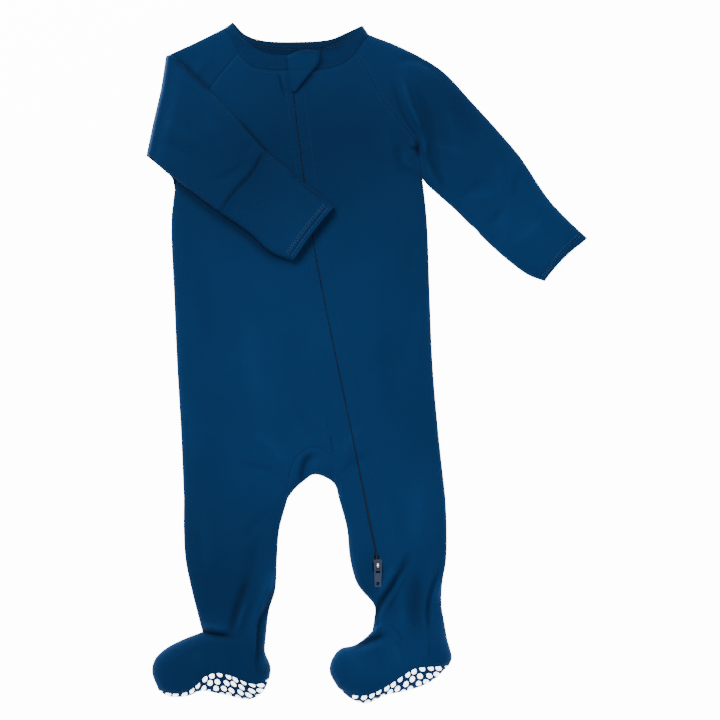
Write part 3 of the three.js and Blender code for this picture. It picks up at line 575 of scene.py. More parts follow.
def lay(net, height, **how):
    """A net in plan, raised to a height that is worked out for each of its points."""
    flat = net.reshape(-1, 2)
    return np.column_stack([flat, height(flat, **how)]).reshape(*net.shape[:2], 3)


# ---------------------------------------------------------------- making a piece of cloth
def new_object(name, bm, material):
    mesh = bpy.data.meshes.new(name)
    bm.to_mesh(mesh)
    bm.free()
    mesh.materials.append(material)
    obj = bpy.data.objects.new(name, mesh)
    bpy.context.scene.collection.objects.link(obj)
    return obj


def tone_and_painted_light_of(xyz, shades, lowest):
    """Painted light and shade at each point: broad painted light and shade, painted shade in the creases'
    troughs, painted highlight on their ridges and the painted shadows of folds, with a little random unevenness
    in the dye. Only cloth above the lowest height lies in the front's painted shade.
    """
    xy, upper = xyz[:, :2], xyz[:, 2] > lowest
    # broad painted light and shade, weaker on lower layers, and a little random unevenness in the dye
    tone_and_painted_light = 1 + hills(xy, PAINTED_LIGHT) * np.where(upper, 1.0, 0.3) + 0.02 * ripple(xy, 5)
    if shades:
        # painted shade in the creases' troughs and painted highlight on their ridges
        loose = relief(xy, ALL_FRONT) * pressed(xy) * (xyz[:, 2] > 1.3)
        tone_and_painted_light *= 1 + np.clip(0.085 * loose, -0.28, 0.26)
    # painted shadows where cloth lies in the shade of a fold
    for path, width, dark in shades:
        ends = np.array(path)
        close = upper & ((xy > ends.min(0) - 3 * width) & (xy < ends.max(0) + 3 * width)).all(1)
        if close.any():
            distance, _, place = near_line(xy[close], path)
            taper = ease(place / 0.2) * ease((1 - place) / 0.2)
            tone_and_painted_light[close] *= 1 - dark * np.exp(-((distance / width) ** 2)) * (0.3 + 0.7 * taper)
    return tone_and_painted_light


def cloth(name, nets, material, faces="up", thick=CLOTH, shades=SHADES, lowest=SEAM_LEVEL, gap=0.05):
    """A thin shell of cloth from nets of points, joined where they share an edge."""
    bm = bmesh.new()
    for net in nets:
        rows, columns = net.shape[:2]
        made = bmesh.ops.create_grid(bm, x_segments=columns - 1, y_segments=rows - 1, size=0.5)["verts"]
        for vert in made:
            i, j = round((vert.co.x + 0.5) * (columns - 1)), round((vert.co.y + 0.5) * (rows - 1))
            vert.co = net[j, i]
    bmesh.ops.remove_doubles(bm, verts=bm.verts, dist=0.02)
    bmesh.ops.recalc_face_normals(bm, faces=bm.faces)
    middle = sum(vert.co.z for vert in bm.verts) / len(bm.verts)
    facing = 0.0
    for face in bm.faces:
        high = 1 if faces != "out" or face.calc_center_median().z > middle else -1
        facing += face.normal.z * face.calc_area() * high
    if (facing > 0) != (faces != "down"):
        bmesh.ops.reverse_faces(bm, faces=bm.faces)
    moves = []
    for vert in bm.verts:
        if vert.is_boundary:
            inner = [edge.other_vert(vert).co for edge in vert.link_edges if not edge.is_boundary]
            if inner:
                step = sum(inner, Vector()) / len(inner) - vert.co
                moves.append((vert, step.normalized() * min(gap, 0.3 * step.length)))
    for vert, step in moves:
        vert.co += step
    for face in bm.faces:
        face.smooth = True
    for edge in bm.edges:
        edge.smooth = not edge.is_boundary
    xyz = np.array([vert.co for vert in bm.verts])
    bmesh.ops.scale(bm, vec=(MM, MM, MM), verts=bm.verts)
    obj = new_object(name, bm, material)
    # painted light and shade, stored on each point for the material to read
    tone_and_painted_light = obj.data.attributes.new("tone_and_painted_light", "FLOAT", "POINT")
    tone_and_painted_light.data.foreach_set("value", tone_and_painted_light_of(xyz, shades, lowest).astype(np.float32))
    shell = obj.modifiers.new("shell", "SOLIDIFY")
    shell.thickness = thick * MM
    shell.offset = 0
    shell.use_even_offset = False
    return obj


def surface(*objects):
    """The pieces' meshes, to lay stitches and other small things on."""
    points, polygons = [], []
    for obj in objects:
        start = len(points)
        points += [vert.co.copy() for vert in obj.data.vertices]
        polygons += [[start + n for n in poly.vertices] for poly in obj.data.polygons]
    return BVHTree.FromPolygons(points, polygons)


# ---------------------------------------------------------------- finishes
class Finish:
    """A material under construction, with short ways to add and join its nodes."""

    def __init__(self, name, **values):
        self.material = bpy.data.materials.new(name)
        self.material.use_nodes = True
        self.tree = self.material.node_tree
        self.shader = self.tree.nodes["Principled BSDF"]
        for socket, value in values.items():
            self.shader.inputs[socket.replace("_", " ")].default_value = value

    def add(self, kind, **values):
        return add_node(self.tree, kind, **values)

    def join(self, output, target):
        self.tree.links.new(output, target)

    def tint(self, low, high, share):
        """Base colour that goes from one colour to another."""
        node = self.add("ShaderNodeMix", data_type="RGBA")
        node.inputs[6].default_value, node.inputs[7].default_value = low, high
        self.join(share, node.inputs["Factor"])
        self.join(node.outputs[2], self.shader.inputs["Base Color"])

    def bump(self, height, strength, distance):
        node = self.add("ShaderNodeBump", Strength=strength, Distance=distance)
        self.join(height, node.inputs["Height"])
        self.join(node.outputs["Normal"], self.shader.inputs["Normal"])


def add_node(tree, kind, **values):
    node = tree.nodes.new(kind)
    for key, value in values.items():
        if key in node.inputs:
            node.inputs[key].default_value = value
        else:
            setattr(node, key, value)
    return node


def new_group(name, inputs, outputs):
    tree = bpy.data.node_groups.new(name, "ShaderNodeTree")
    for label, kind in inputs:
        tree.interface.new_socket(name=label, in_out="INPUT", socket_type=kind)
    for label, kind in outputs:
        tree.interface.new_socket(name=label, in_out="OUTPUT", socket_type=kind)
    return tree, tree.nodes.new("NodeGroupInput"), tree.nodes.new("NodeGroupOutput")


def math_node(tree, operation, first, second):
    node = add_node(tree, "ShaderNodeMath", operation=operation)
    for socket, value in zip(node.inputs, (first, second)):
        if isinstance(value, (int, float)):
            socket.default_value = value
        else:
            tree.links.new(value, socket)
    return node.outputs[0]


def knit_group():
    """Plain jersey: fine upright ribs crossed by courses, fuzzed, with a little unevenness in the dye."""
    tree, _, out = new_group("knit", [], [("Height", "NodeSocketFloat"), ("Dye", "NodeSocketFloat")])
    place = tree.nodes.new("ShaderNodeTexCoord").outputs["Object"]
    ribs = add_node(tree, "ShaderNodeTexWave", bands_direction="X", Scale=330.0, Distortion=1.2)
    courses = add_node(tree, "ShaderNodeTexWave", bands_direction="Y", Scale=420.0, Distortion=1.0)
    fuzz = add_node(tree, "ShaderNodeTexNoise", Scale=1500.0, Detail=3.0)
    loose = add_node(tree, "ShaderNodeTexNoise", Scale=90.0, Detail=4.0, Roughness=0.6)
    cloudy = add_node(tree, "ShaderNodeTexNoise", Scale=22.0, Detail=3.0)
    for node in (ribs, courses, fuzz, loose, cloudy):
        tree.links.new(place, node.inputs["Vector"])
    loops = math_node(tree, "MULTIPLY", ribs.outputs["Fac"], courses.outputs["Fac"])
    fine = math_node(tree, "ADD", loops, fuzz.outputs["Fac"])
    soft = math_node(tree, "MULTIPLY", loose.outputs["Fac"], 2.2)
    tree.links.new(math_node(tree, "ADD", fine, soft), out.inputs["Height"])
    mottle = math_node(tree, "MULTIPLY", cloudy.outputs["Fac"], 0.16)
    grain = math_node(tree, "MULTIPLY", loops, 0.10)
    tree.links.new(math_node(tree, "ADD", math_node(tree, "ADD", mottle, grain), 0.88), out.inputs["Dye"])
    return tree


KNIT = knit_group()


def dyed_cloth_with_painted_light(name, colour, knit=0.35):
    """Navy cotton jersey, painted lighter or darker where the painted light and shade stored on each point
    says.
    """
    finish = Finish(name, Roughness=0.9, Sheen_Weight=0.03, Sheen_Roughness=0.45, Specular_IOR_Level=0.05)
    finish.shader.inputs["Sheen Tint"].default_value = (0.35, 0.55, 0.85, 1)
    group = finish.add("ShaderNodeGroup", node_tree=KNIT)
    # the painted light and shade stored on each point
    tone_and_painted_light = finish.add("ShaderNodeAttribute", attribute_name="tone_and_painted_light", attribute_type="GEOMETRY")
    shade = math_node(finish.tree, "MULTIPLY", tone_and_painted_light.outputs["Fac"], group.outputs["Dye"])
    tint = finish.add("ShaderNodeVectorMath", operation="SCALE")
    tint.inputs[0].default_value = colour
    finish.join(shade, tint.inputs["Scale"])
    finish.join(tint.outputs["Vector"], finish.shader.inputs["Base Color"])
    finish.bump(group.outputs["Height"], knit, 0.00025)
    return finish.material


def plain_finish(name, colour, scale, vary, height, **values):
    """Colour that wanders a little over a noise, with the same noise as a fine relief."""
    finish = Finish(name, **values)
    place = finish.add("ShaderNodeTexCoord").outputs["Object"]
    noise = finish.add("ShaderNodeTexNoise", Scale=scale, Detail=4.0)
    finish.join(place, noise.inputs["Vector"])
    low, high = ([c * share for c in colour] + [1] for share in (1 - vary, 1 + vary))
    finish.tint(low, high, noise.outputs["Fac"])
    finish.bump(noise.outputs["Fac"], 0.4, height)
    return finish.material


def ribbon_finish():
    """Woven zip tape: close diagonal ribs."""
    finish = Finish("zip_ribbon", Roughness=0.7, Specular_IOR_Level=0.3)
    place = finish.add("ShaderNodeTexCoord").outputs["Object"]
    weave = finish.add("ShaderNodeTexWave", bands_direction="DIAGONAL", Scale=520.0, Distortion=0.4)
    finish.join(place, weave.inputs["Vector"])
    finish.tint((0.003, 0.014, 0.035, 1), (0.006, 0.026, 0.06, 1), weave.outputs["Fac"])
    finish.bump(weave.outputs["Fac"], 0.5, 0.0002)
    return finish.material


NAVY = (0.0012, 0.0128, 0.0450)
jersey = dyed_cloth_with_painted_light("navy_jersey", NAVY)
band_jersey = dyed_cloth_with_painted_light("navy_rib", tuple(0.88 * c for c in NAVY), knit=0.5)
grip_jersey = dyed_cloth_with_painted_light("gripper_jersey", (0.002, 0.010, 0.042))
thread = plain_finish(
    "thread", (0.001, 0.0135, 0.047), 2500, 0.2, 0.0001, Roughness=0.7, Specular_IOR_Level=0.15
)
cuff_thread = plain_finish(
    "cuff_thread", (0.003, 0.026, 0.074), 2500, 0.2, 0.0001, Roughness=0.6, Specular_IOR_Level=0.3
)
# The rubber dots glow: painted light that keeps them bright white.
glowing_rubber = plain_finish(
    "glowing_white_rubber", (0.90, 0.93, 0.96), 700, 0.03, 0.00008, Roughness=0.45,
    Emission_Color=(0.8, 0.92, 1, 1), Emission_Strength=3.0,
)
nylon = plain_finish(
    "nylon_coil", (0.0012, 0.006, 0.018), 900, 0.2, 0.00005, Roughness=0.5, Specular_IOR_Level=0.2
)
enamel = plain_finish(
    "blue_enamel", (0.011, 0.019, 0.046), 500, 0.25, 0.00006, Roughness=0.5, Specular_IOR_Level=0.2
)
bright_metal = plain_finish(
    "worn_bridge", (0.62, 0.68, 0.78), 1200, 0.12, 0.00004, Roughness=0.22, Metallic=1.0
)
ribbon = ribbon_finish()
table_top = plain_finish(
    "table_top", (0.93, 0.93, 0.93), 3, 0.005, 0.0, Roughness=0.9, Specular_IOR_Level=0.1,
    Emission_Color=(1, 1, 1, 1), Emission_Strength=12.0,
)

# ---------------------------------------------------------------- fronts and back
LEG_COLUMNS = spread(91, CELL, True, True)
ARCH_COLUMNS = even(44)
STRIP_COLUMNS = spread(22, 2.0, True, False)
TORSO_ROWS, LEG_ROWS = even(124), even(54)
CHEST_UP, LEG_TOP_UP = 158.0, -119
RIGHT_LEG_TOP = (BODY_RIGHT[-1], GUSSET_SEAM[0])
LEFT_LEG_TOP = (GUSSET_SEAM[-1], BODY_LEFT[-1])
ANKLE_LINES = {
    side: chain(run(foot["ankle_toe"], even(20)), run(foot["ankle_heel"], even(24)))
    for side, foot in FEET.items()
}


def straight(a, b, fractions):
    return np.array(a, float) + np.subtract(b, a) * np.asarray(fractions)[:, None]


def neck_part(first, last):
    """Part of the front's neck seam, between two places across."""
    line = run(FRONT_NECK, even(200))
    kept = line[(line[:, 0] > first + 0.2) & (line[:, 0] < last - 0.2)]
    ends = [[x, np.interp(x, line[:, 0], line[:, 1])] for x in (first, last)]
    return np.vstack([ends[0], kept, ends[1]])


def panel(neck_row, sides, columns, bottom):
    """Yoke and torso of a panel: sides are the upper and lower lines down each side."""
    (upper_a, lower_a), (upper_b, lower_b) = sides
    chest = straight(upper_a[-1], upper_b[-1], columns)
    return [
        patch(sample(neck_row, columns), chest, upper_a, upper_b),
        patch(chest, bottom, lower_a, lower_b),
    ]


def leg(top, seam, left, right):
    return patch(top, seam, sample(left, LEG_ROWS), sample(right, LEG_ROWS))


zip_at = {side: zip_side(side, CHEST_UP, LEG_TOP_UP, 124) for side in (-1, 1)}
neck_up = 257.6
right_leg_top = straight(*RIGHT_LEG_TOP, LEG_COLUMNS)
strip_top = straight(LEFT_LEG_TOP[0], zip_at[-1][-1], STRIP_COLUMNS)
right_bottom = chain(right_leg_top, run(GUSSET_SEAM, ARCH_COLUMNS), strip_top)
right_columns = along(right_bottom)
strip_end = np.argmin(np.abs(ANKLE_LINES["left"][:, 0] - 9))
left_ankle = ANKLE_LINES["left"]
nets_right = panel(
    neck_part(-114, zip_across(neck_up) - NECK_GAP),
    [
        (raglan["right"], run(BODY_RIGHT, TORSO_ROWS)),
        (zip_side(-1, neck_up, CHEST_UP, 62), zip_at[-1]),
    ],
    right_columns,
    right_bottom,
)
nets_right.append(leg(
    right_leg_top, sample(ANKLE_LINES["right"], LEG_COLUMNS), curve(RIGHT_LEG_OUTER), curve(RIGHT_LEG_INNER)
))
strip_foot = sample(left_ankle[: strip_end + 1], STRIP_COLUMNS)
strip_side = zip_side(-1, LEG_TOP_UP, strip_foot[-1][1], 80)
strip_side[-1] = strip_foot[-1]
nets_right.append(leg(strip_top, strip_foot, curve(LEFT_LEG_INNER), strip_side))

left_columns = spread(72, CELL, False, True)
left_bottom = straight(zip_at[1][-1], LEFT_LEG_TOP[1], left_columns)
nets_left = panel(
    neck_part(zip_across(neck_up) + NECK_GAP, -10),
    [(zip_side(1, neck_up, CHEST_UP, 62), zip_at[1]), (raglan["left"], run(BODY_LEFT, TORSO_ROWS))],
    left_columns,
    left_bottom,
)
left_foot = sample(left_ankle[strip_end:], left_columns)
left_side = zip_side(1, LEG_TOP_UP, left_foot[0][1], 80)
left_side[-1] = left_foot[0]
nets_left.append(leg(left_bottom, left_foot, left_side, curve(LEFT_LEG_OUTER)))


def front(nets):
    return [lay(net, front_height, meets=0.12) for net in nets]


front_right = cloth("front_right_jersey", front(nets_right), jersey)
front_left = cloth("front_left_jersey", front(nets_left), jersey)

BACK_CELL = 3.2
back_leg = spread(91, BACK_CELL, True, True)
back_right_top = straight(*RIGHT_LEG_TOP, back_leg)
back_left_top = straight(*LEFT_LEG_TOP, back_leg)
back_bottom = chain(back_right_top, run(GUSSET_SEAM, even(30)), back_left_top)
back_columns = along(back_bottom)
back_right_side = chain(run(RIGHT_NECK_END[1:], even(5)), run(RIGHT_RAGLAN, even(40)))
back_left_side = chain(run(LEFT_NECK_END[1:], even(5)), run(LEFT_RAGLAN, even(40)))
back_neck_row = run(BACK_NECK, even(60))
back_neck_row[:, 1] += 1.6 * quarter(np.minimum(even(60), 1 - even(60)) / 0.1)
nets_back = panel(
    back_neck_row,
    [(back_right_side, run(BODY_RIGHT, even(84))), (back_left_side, run(BODY_LEFT, even(84)))],
    back_columns,
    back_bottom,
)
nets_back.append(leg(
    back_right_top, sample(ANKLE_LINES["right"], back_leg), curve(RIGHT_LEG_OUTER), curve(RIGHT_LEG_INNER)
))
nets_back.append(leg(
    back_left_top, sample(left_ankle, back_leg), curve(LEFT_LEG_INNER), curve(LEFT_LEG_OUTER)
))
back = cloth("back_jersey", [lay(net, back_height, meets=0.12) for net in nets_back], jersey, "down")


# ---------------------------------------------------------------- pieces in two layers, joined at an edge
def two_layers(net):
    return [lay(net, front_height), lay(net, back_height)]


crotch_rows = spread(24, 2.0, False, True)
seam_row, edge_row = run(GUSSET_SEAM, ARCH_COLUMNS), run(CROTCH, ARCH_COLUMNS)
gusset_net = np.array([seam_row + (edge_row - seam_row) * t for t in crotch_rows])
gusset = cloth("crotch_gusset", two_layers(gusset_net), jersey, "out")


def foot_pieces(side):
    foot = FEET[side]
    toe_columns = spread(length(curve(foot["toe_sole"])), 1.8, True, False)
    heel_columns = spread(length(curve(foot["heel_sole"])), 1.8, False, True)
    vamp_seam = straight(foot["ankle_toe"][-1], foot["toe_sole"][-1], even(24))
    toe_seam, heel_seam = run(foot["toe_sole"], toe_columns), run(foot["heel_sole"], heel_columns)
    sole_seam = chain(toe_seam, heel_seam)
    sole_edge = run(foot["sole_edge"], along(sole_seam))
    vamp = patch(run(foot["ankle_toe"], toe_columns), toe_seam, run(foot["toe"], even(24)), vamp_seam)
    heel = patch(run(foot["ankle_heel"], heel_columns), heel_seam, vamp_seam, run(foot["heel"], even(24)))
    sole = np.array([sole_seam + (sole_edge - sole_seam) * t for t in spread(14, 1.6, False, True)])
    made = {
        "vamp": cloth(f"{side}_vamp", two_layers(vamp), jersey, "out"),
        "heel": cloth(f"{side}_heel_piece", two_layers(heel), jersey, "out"),
        "sole": cloth(f"{side}_gripper_sole", two_layers(sole), grip_jersey, "out"),
    }
    return made, two_layers(sole)


feet, sole_nets = {}, {}
for foot_side in FEET:
    feet[foot_side], sole_nets[foot_side] = foot_pieces(foot_side)


# ---------------------------------------------------------------- sleeves
mitten_lift = 1.3
sleeve_columns = spread(75, CELL, True, True)
SLEEVE_STEPS = 96
sleeve_rows = even(SLEEVE_STEPS)


def armhole(side, corner):
    return with_corners(sample(chain(neck_end[side], raglan[side]), sleeve_columns), [corner])


left_seam = armhole("left", LEFT_RAGLAN[0])
left_net = patch(
    left_seam, run(LEFT_CUFF, sleeve_columns), run(LEFT_SLEEVE_TOP, sleeve_rows),
    run(LEFT_SLEEVE_UNDER, sleeve_rows),
)
mitten_start, mitten_full = 0.60, 0.70


def left_sleeve_layers():
    over, under = lay(left_net, front_height), lay(left_net, back_height)
    lift = mitten_lift * ease((sleeve_rows - mitten_start) / (mitten_full - mitten_start))[:, None]
    for net in (over, under):
        net[..., 2] += lift
    return [over, under]


sleeve_left = cloth("left_sleeve_jersey", left_sleeve_layers(), jersey, "out")
mitten_left_net = left_net[round(SLEEVE_STEPS * mitten_full):][:, 3:-3]


def mitten_under(xy):
    return 0.8 + 0.08 * ripple(xy, 6)


mitten_left = cloth("left_fold_over_mitten", [lay(mitten_left_net, mitten_under)], jersey, "down")

# The right sleeve lies out to its fold, turns over there, and its forearm comes back over the chest.
right_seam = armhole("right", RIGHT_RAGLAN[0])
out_rows = even(26)
out_net = patch(
    right_seam, run(RIGHT_FOLD, sleeve_columns), run(RIGHT_SLEEVE_TOP, out_rows),
    run(RIGHT_SLEEVE_UNDER, out_rows),
)
fold_middle = (FOREARM + 2 * SEAM_LEVEL) / 2
fold_line = run(RIGHT_FOLD, sleeve_columns)
forearm_rows = even(90)
inset = fold_middle - 0.2
forearm_net = patch(
    fold_line + [inset, 0], run(RIGHT_CUFF, sleeve_columns),
    run([(FOREARM_TOP[0][0] + inset, FOREARM_TOP[0][1]), *FOREARM_TOP[1:]], forearm_rows),
    run([(FOREARM_UNDER[0][0] + inset, FOREARM_UNDER[0][1]), *FOREARM_UNDER[1:]], forearm_rows),
)


def forearm_over(xy):
    """Middle of the forearm's upper cloth."""
    away = FOREARM_EDGES.distance(xy)
    roll = quarter(away / ROLL)
    loose = relief(xy, FOREARM_CREASES) + 0.25 * ripple(xy + [40, 13], 7)
    return FOREARM + SEAM_LEVEL + FOLD * quarter(away / LIP) + (FULLNESS + loose) * roll


def forearm_under(xy):
    return FOREARM + SEAM_LEVEL - FOLD * quarter(FOREARM_EDGES.distance(xy) / LIP)


def ends_of(columns):
    """0 at both edges of a sleeve and 1 between them, as its cloth turns over."""
    across = np.minimum(columns, 1 - columns) * 88
    return quarter(across / LIP)


def fold_nets():
    """Both layers round the fold. The one that lies lower outside the fold comes out on top of it."""
    turned = []
    for sign in (-1, 1):
        rise_in = SEAM_LEVEL + sign * FOLD * ends_of(sleeve_columns)
        radius = fold_middle - rise_in
        rows = []
        for angle in np.linspace(0, math.pi, 11):
            side = fold_line[:, 0] + inset - radius * math.sin(angle)
            side -= inset * max(0.0, math.cos(angle))
            rows.append(np.column_stack([side, fold_line[:, 1], fold_middle - radius * math.cos(angle)]))
        turned.append(np.array(rows))
    return turned


def shoulder_height(xy, sign):
    away = OUTER.distance(xy)
    lift = relief(xy, SHOULDER_CREASES) * quarter(away / ROLL)
    seam = np.exp(-((SEAMS.distance(xy) / SEAM_WIDTH) ** 2)) * SEAM_DIP * (sign > 0)
    rise_in = 0.5 * FULLNESS * quarter(away / ROLL) * ease((xy[:, 0] + 176 - 0.12 * (270 - xy[:, 1])) / 26)
    upper = (rise_in + lift) * (sign > 0)
    return SEAM_LEVEL + sign * FOLD * quarter(away / LIP) + np.maximum(upper, 0) - seam


def right_sleeve_layers():
    lower_fold, upper_fold = fold_nets()
    out_low = lay(out_net, shoulder_height, sign=-1)
    out_high = lay(out_net, shoulder_height, sign=1)
    fore_high, fore_low = lay(forearm_net, forearm_over), lay(forearm_net, forearm_under)
    blend = ease(np.arange(len(fore_high)) / 8)[:, None]
    for fore, fold in ((fore_high, lower_fold), (fore_low, upper_fold)):
        fore[..., 2] = fold[-1][:, 2] * (1 - blend) + fore[..., 2] * blend
        fore[0] = fold[-1]
    for out, fold in ((out_low, lower_fold), (out_high, upper_fold)):
        share = ease((np.arange(len(out)) - 16) / 10)[:, None]
        out[..., 2] = out[..., 2] * (1 - share) + fold[0][:, 2] * share
        out[-1] = fold[0]
    return [
        chain(out_low, lower_fold, fore_high),
        chain(out_high, upper_fold, fore_low),
    ]


sleeve_right = cloth("right_sleeve_jersey", right_sleeve_layers(), jersey, "out")

mitten_rows = even(44)
mitten_columns = spread(66, CELL, True, True)
mitten_right_net = patch(
    run(RIGHT_MITTEN_EDGE, mitten_columns), run(RIGHT_CUFF, mitten_columns),
    run([RIGHT_MITTEN_EDGE[0], *FOREARM_TOP[5:]], mitten_rows),
    run([RIGHT_MITTEN_EDGE[-1], *FOREARM_UNDER[5:]], mitten_rows),
)
MITTEN_END = Lines([coarse(RIGHT_MITTEN_EDGE)])


def mitten_over(xy):
    away = FOREARM_EDGES.distance(xy)
    loose = 0.5 * np.exp(-((MITTEN_END.distance(xy) / 4) ** 2))
    return forearm_over(xy) + 0.25 + (0.75 + loose) * quarter(away / 5)


mitten_right = cloth("right_fold_over_mitten", [lay(mitten_right_net, mitten_over)], jersey)


# ---------------------------------------------------------------- neckband and chin guard
def band_net(inner, outer, height):
    """A strip from the neckline to its seam, rounded over as a folded rib is."""
    across = even(9)
    net = np.array([inner + (outer - inner) * t for t in across])
    laid = lay(net, height)
    ends = np.minimum(along(inner), 1 - along(inner)) * length(inner)
    laid[..., 2] += 0.5 * np.sqrt(np.sin(math.pi * np.clip(across, 0.02, 0.98)))[:, None] * quarter(ends / 3)
    return laid


SHOULDERS = Lines([
    straight(RIGHT_NECK_END[0], FRONT_NECKLINE[0], even(4)),
    straight(FRONT_NECKLINE[-1], LEFT_NECK_END[0], even(4)),
])


def band_front(xy):
    roll = quarter(np.minimum(OUTER.distance(xy), SHOULDERS.distance(xy)) / ROLL)
    lip = FOLD * quarter(SHOULDERS.distance(xy) / LIP)
    seam = 0.4 * np.exp(-((SEAMS.distance(xy) / 1.0) ** 2))
    return SEAM_LEVEL + lip + FULLNESS * roll - seam * roll + 0.2 * ripple(xy, 8) * roll


def band_back(xy):
    return SEAM_LEVEL - FOLD * quarter(SHOULDERS.distance(xy) / LIP) + 0.04 * ripple(xy, 8)


def split_at_zip(line, side):
    """The part of a line to one side of the zip, which ends at the gap for it."""
    fine = sample(line, even(600))
    limit = zip_across(fine[:, 1]) + side * NECK_GAP
    return fine[fine[:, 0] < limit] if side < 0 else fine[fine[:, 0] > limit]


front_inner = run(FRONT_NECKLINE, even(160))
front_outer = chain(neck_end["right"], run(FRONT_NECK, even(80)), neck_end["left"][::-1])
nets_band = []
for gap_side in (-1, 1):
    band_columns = even(64)
    outer = sample(split_at_zip(front_outer, gap_side), band_columns)
    outer = with_corners(outer, [RIGHT_RAGLAN[0] if gap_side < 0 else LEFT_RAGLAN[0]])
    nets_band.append(band_net(sample(split_at_zip(front_inner, gap_side), band_columns), outer, band_front))
back_outer = chain(
    run(RIGHT_NECK_END[:2], even(4)), run(BACK_NECK, even(80)), run(LEFT_NECK_END[:2], even(4))[::-1]
)
nets_band.append(band_net(run(BACK_NECKLINE, even(120)), sample(back_outer, even(120)), band_back))
neckband = cloth("rib_neckband", nets_band, band_jersey, lowest=0)

guard_rows = even(30)
guard_top = [CHIN_GUARD_SEAM[-1], (-56, 275.4), CHIN_GUARD_FREE[-1]]
guard_net = patch(
    run(CHIN_GUARD_SEAM, guard_rows), run(CHIN_GUARD_FREE, guard_rows),
    straight(CHIN_GUARD_SEAM[0], CHIN_GUARD_FREE[0], even(24)), run(guard_top, even(24)),
)
guard_edge = Lines([run(CHIN_GUARD_FREE, guard_rows), run(guard_top, even(12))])


def guard_height(xy):
    away = guard_edge.distance(xy)
    base = np.maximum(front_height(xy), band_front(xy) + 0.3)
    return base + 0.85 + 0.7 * quarter(away / 2.2) + 0.12 * ripple(xy, 4)


chin_guard = cloth("chin_guard_flap", [lay(guard_net, guard_height)], jersey, thick=1.1)

# ---------------------------------------------------------------- the floor, the light and the camera
floor_mesh = bmesh.new()
bmesh.ops.create_grid(floor_mesh, x_segments=1, y_segments=1, size=4)
floor = new_object("floor", floor_mesh, table_top)


def lamp(name, place, size, power):
    data = bpy.data.lights.new(name, "AREA")
    data.size, data.energy = size, power
    obj = bpy.data.objects.new(name, data)
    obj.location = place
    obj.rotation_euler = (-Vector(place)).to_track_quat("-Z", "Y").to_euler()
    bpy.context.scene.collection.objects.link(obj)


lamp("window", (-0.9, 1.5, 1.25), 0.9, 78)
lamp("ceiling", (0.3, 0.0, 2.6), 2.4, 50)
world = bpy.data.worlds.new("room")
world.use_nodes = True
world.node_tree.nodes["Background"].inputs["Color"].default_value = (1, 1, 1, 1)
world.node_tree.nodes["Background"].inputs["Strength"].default_value = 0.85
bpy.context.scene.world = world

CAMERA_HEIGHT, VIEW_WIDTH = 3.0, 0.6336
view = bpy.data.cameras.new("overhead")
view.sensor_width = 36
view.lens = 36 * CAMERA_HEIGHT / VIEW_WIDTH
camera = bpy.data.objects.new("overhead", view)
camera.location = (-0.0066, 0.00264, CAMERA_HEIGHT + 0.004)
bpy.context.scene.collection.objects.link(camera)
bpy.context.scene.camera = camera


# ---------------------------------------------------------------- small things laid on the cloth
def small_mesh(name, make):
    bm = bmesh.new()
    make(bm)
    for face in bm.faces:
        face.smooth = True
    mesh = bpy.data.meshes.new(name)
    bm.to_mesh(mesh)
    bm.free()
    return mesh


def repeated(name, small, places, material):
    """One mesh of many copies of a small one, each with its own place."""
    bm = bmesh.new()
    for place in places:
        start = len(bm.verts)
        bm.from_mesh(small)
        bmesh.ops.transform(bm, matrix=place, verts=bm.verts[start:])
    bmesh.ops.scale(bm, vec=(MM, MM, MM), verts=bm.verts)
    return new_object(name, bm, material)


def standing(place, along_it, normal):
    """The place of a small thing that points along a line and stands off a surface."""
    up = Vector(normal).normalized()
    forward = Vector(along_it)
    forward = (forward - up * forward.dot(up)).normalized()
    sideways = up.cross(forward)
    turn = Matrix((forward, sideways, up)).transposed().to_4x4()
    return Matrix.Translation(place) @ turn


def beside(line, shift):
    """A line moved to its left by a fixed amount."""
    step = np.gradient(line, axis=0)
    step /= np.linalg.norm(step, axis=1)[:, None]
    return line + shift * np.column_stack([-step[:, 1], step[:, 0]])


STITCH_PITCH = 2.6


def stitch_places(line, cloth_below, start_high=True, lift=0.42):
    count = int(length(line) / STITCH_PITCH)
    spots = sample(line, (np.arange(count) + 0.5) / count)
    ahead = np.gradient(spots, axis=0)
    origin, down = (0.03, Vector((0, 0, -1))) if start_high else (-0.03, Vector((0, 0, 1)))
    for (x, y), (dx, dy) in zip(spots, ahead):
        hit, normal, _, _ = cloth_below.ray_cast(Vector((x * MM, y * MM, origin)), down)
        if hit is not None:
            normal = normal if normal.z * -down.z > 0 else -normal
            yield standing(hit / MM + normal * lift, (dx, dy, 0), normal)


def thread_shape(bm):
    bmesh.ops.create_uvsphere(bm, u_segments=6, v_segments=5, radius=1)
    bmesh.ops.scale(bm, vec=(1.05, 0.26, 0.2), verts=bm.verts)


one_stitch = small_mesh("one_stitch", thread_shape)
body_cloth = surface(front_right, front_left, gusset)
upper_cloth = surface(front_right, front_left, neckband, sleeve_left, sleeve_right)
band_cloth = surface(neckband)
left_cloth, right_cloth = surface(sleeve_left), surface(mitten_right, sleeve_right)
mitten_cloth = surface(mitten_left)


def along_zip(shift, low, high):
    up = np.linspace(high, low, 160)
    return beside(np.column_stack([zip_across(up), up]), shift)


def cuff_rows(net, layer_cloth, steps, high=True):
    """Hem stitches at given distances from a cuff's end."""
    rows_per_mm = len(net) / length(net[:, net.shape[1] // 2])
    for step in steps:
        line = net[len(net) - 1 - max(1, round(step * rows_per_mm))]
        yield from stitch_places(sample(line, np.linspace(0.06, 0.94, 60)), layer_cloth, start_high=high)


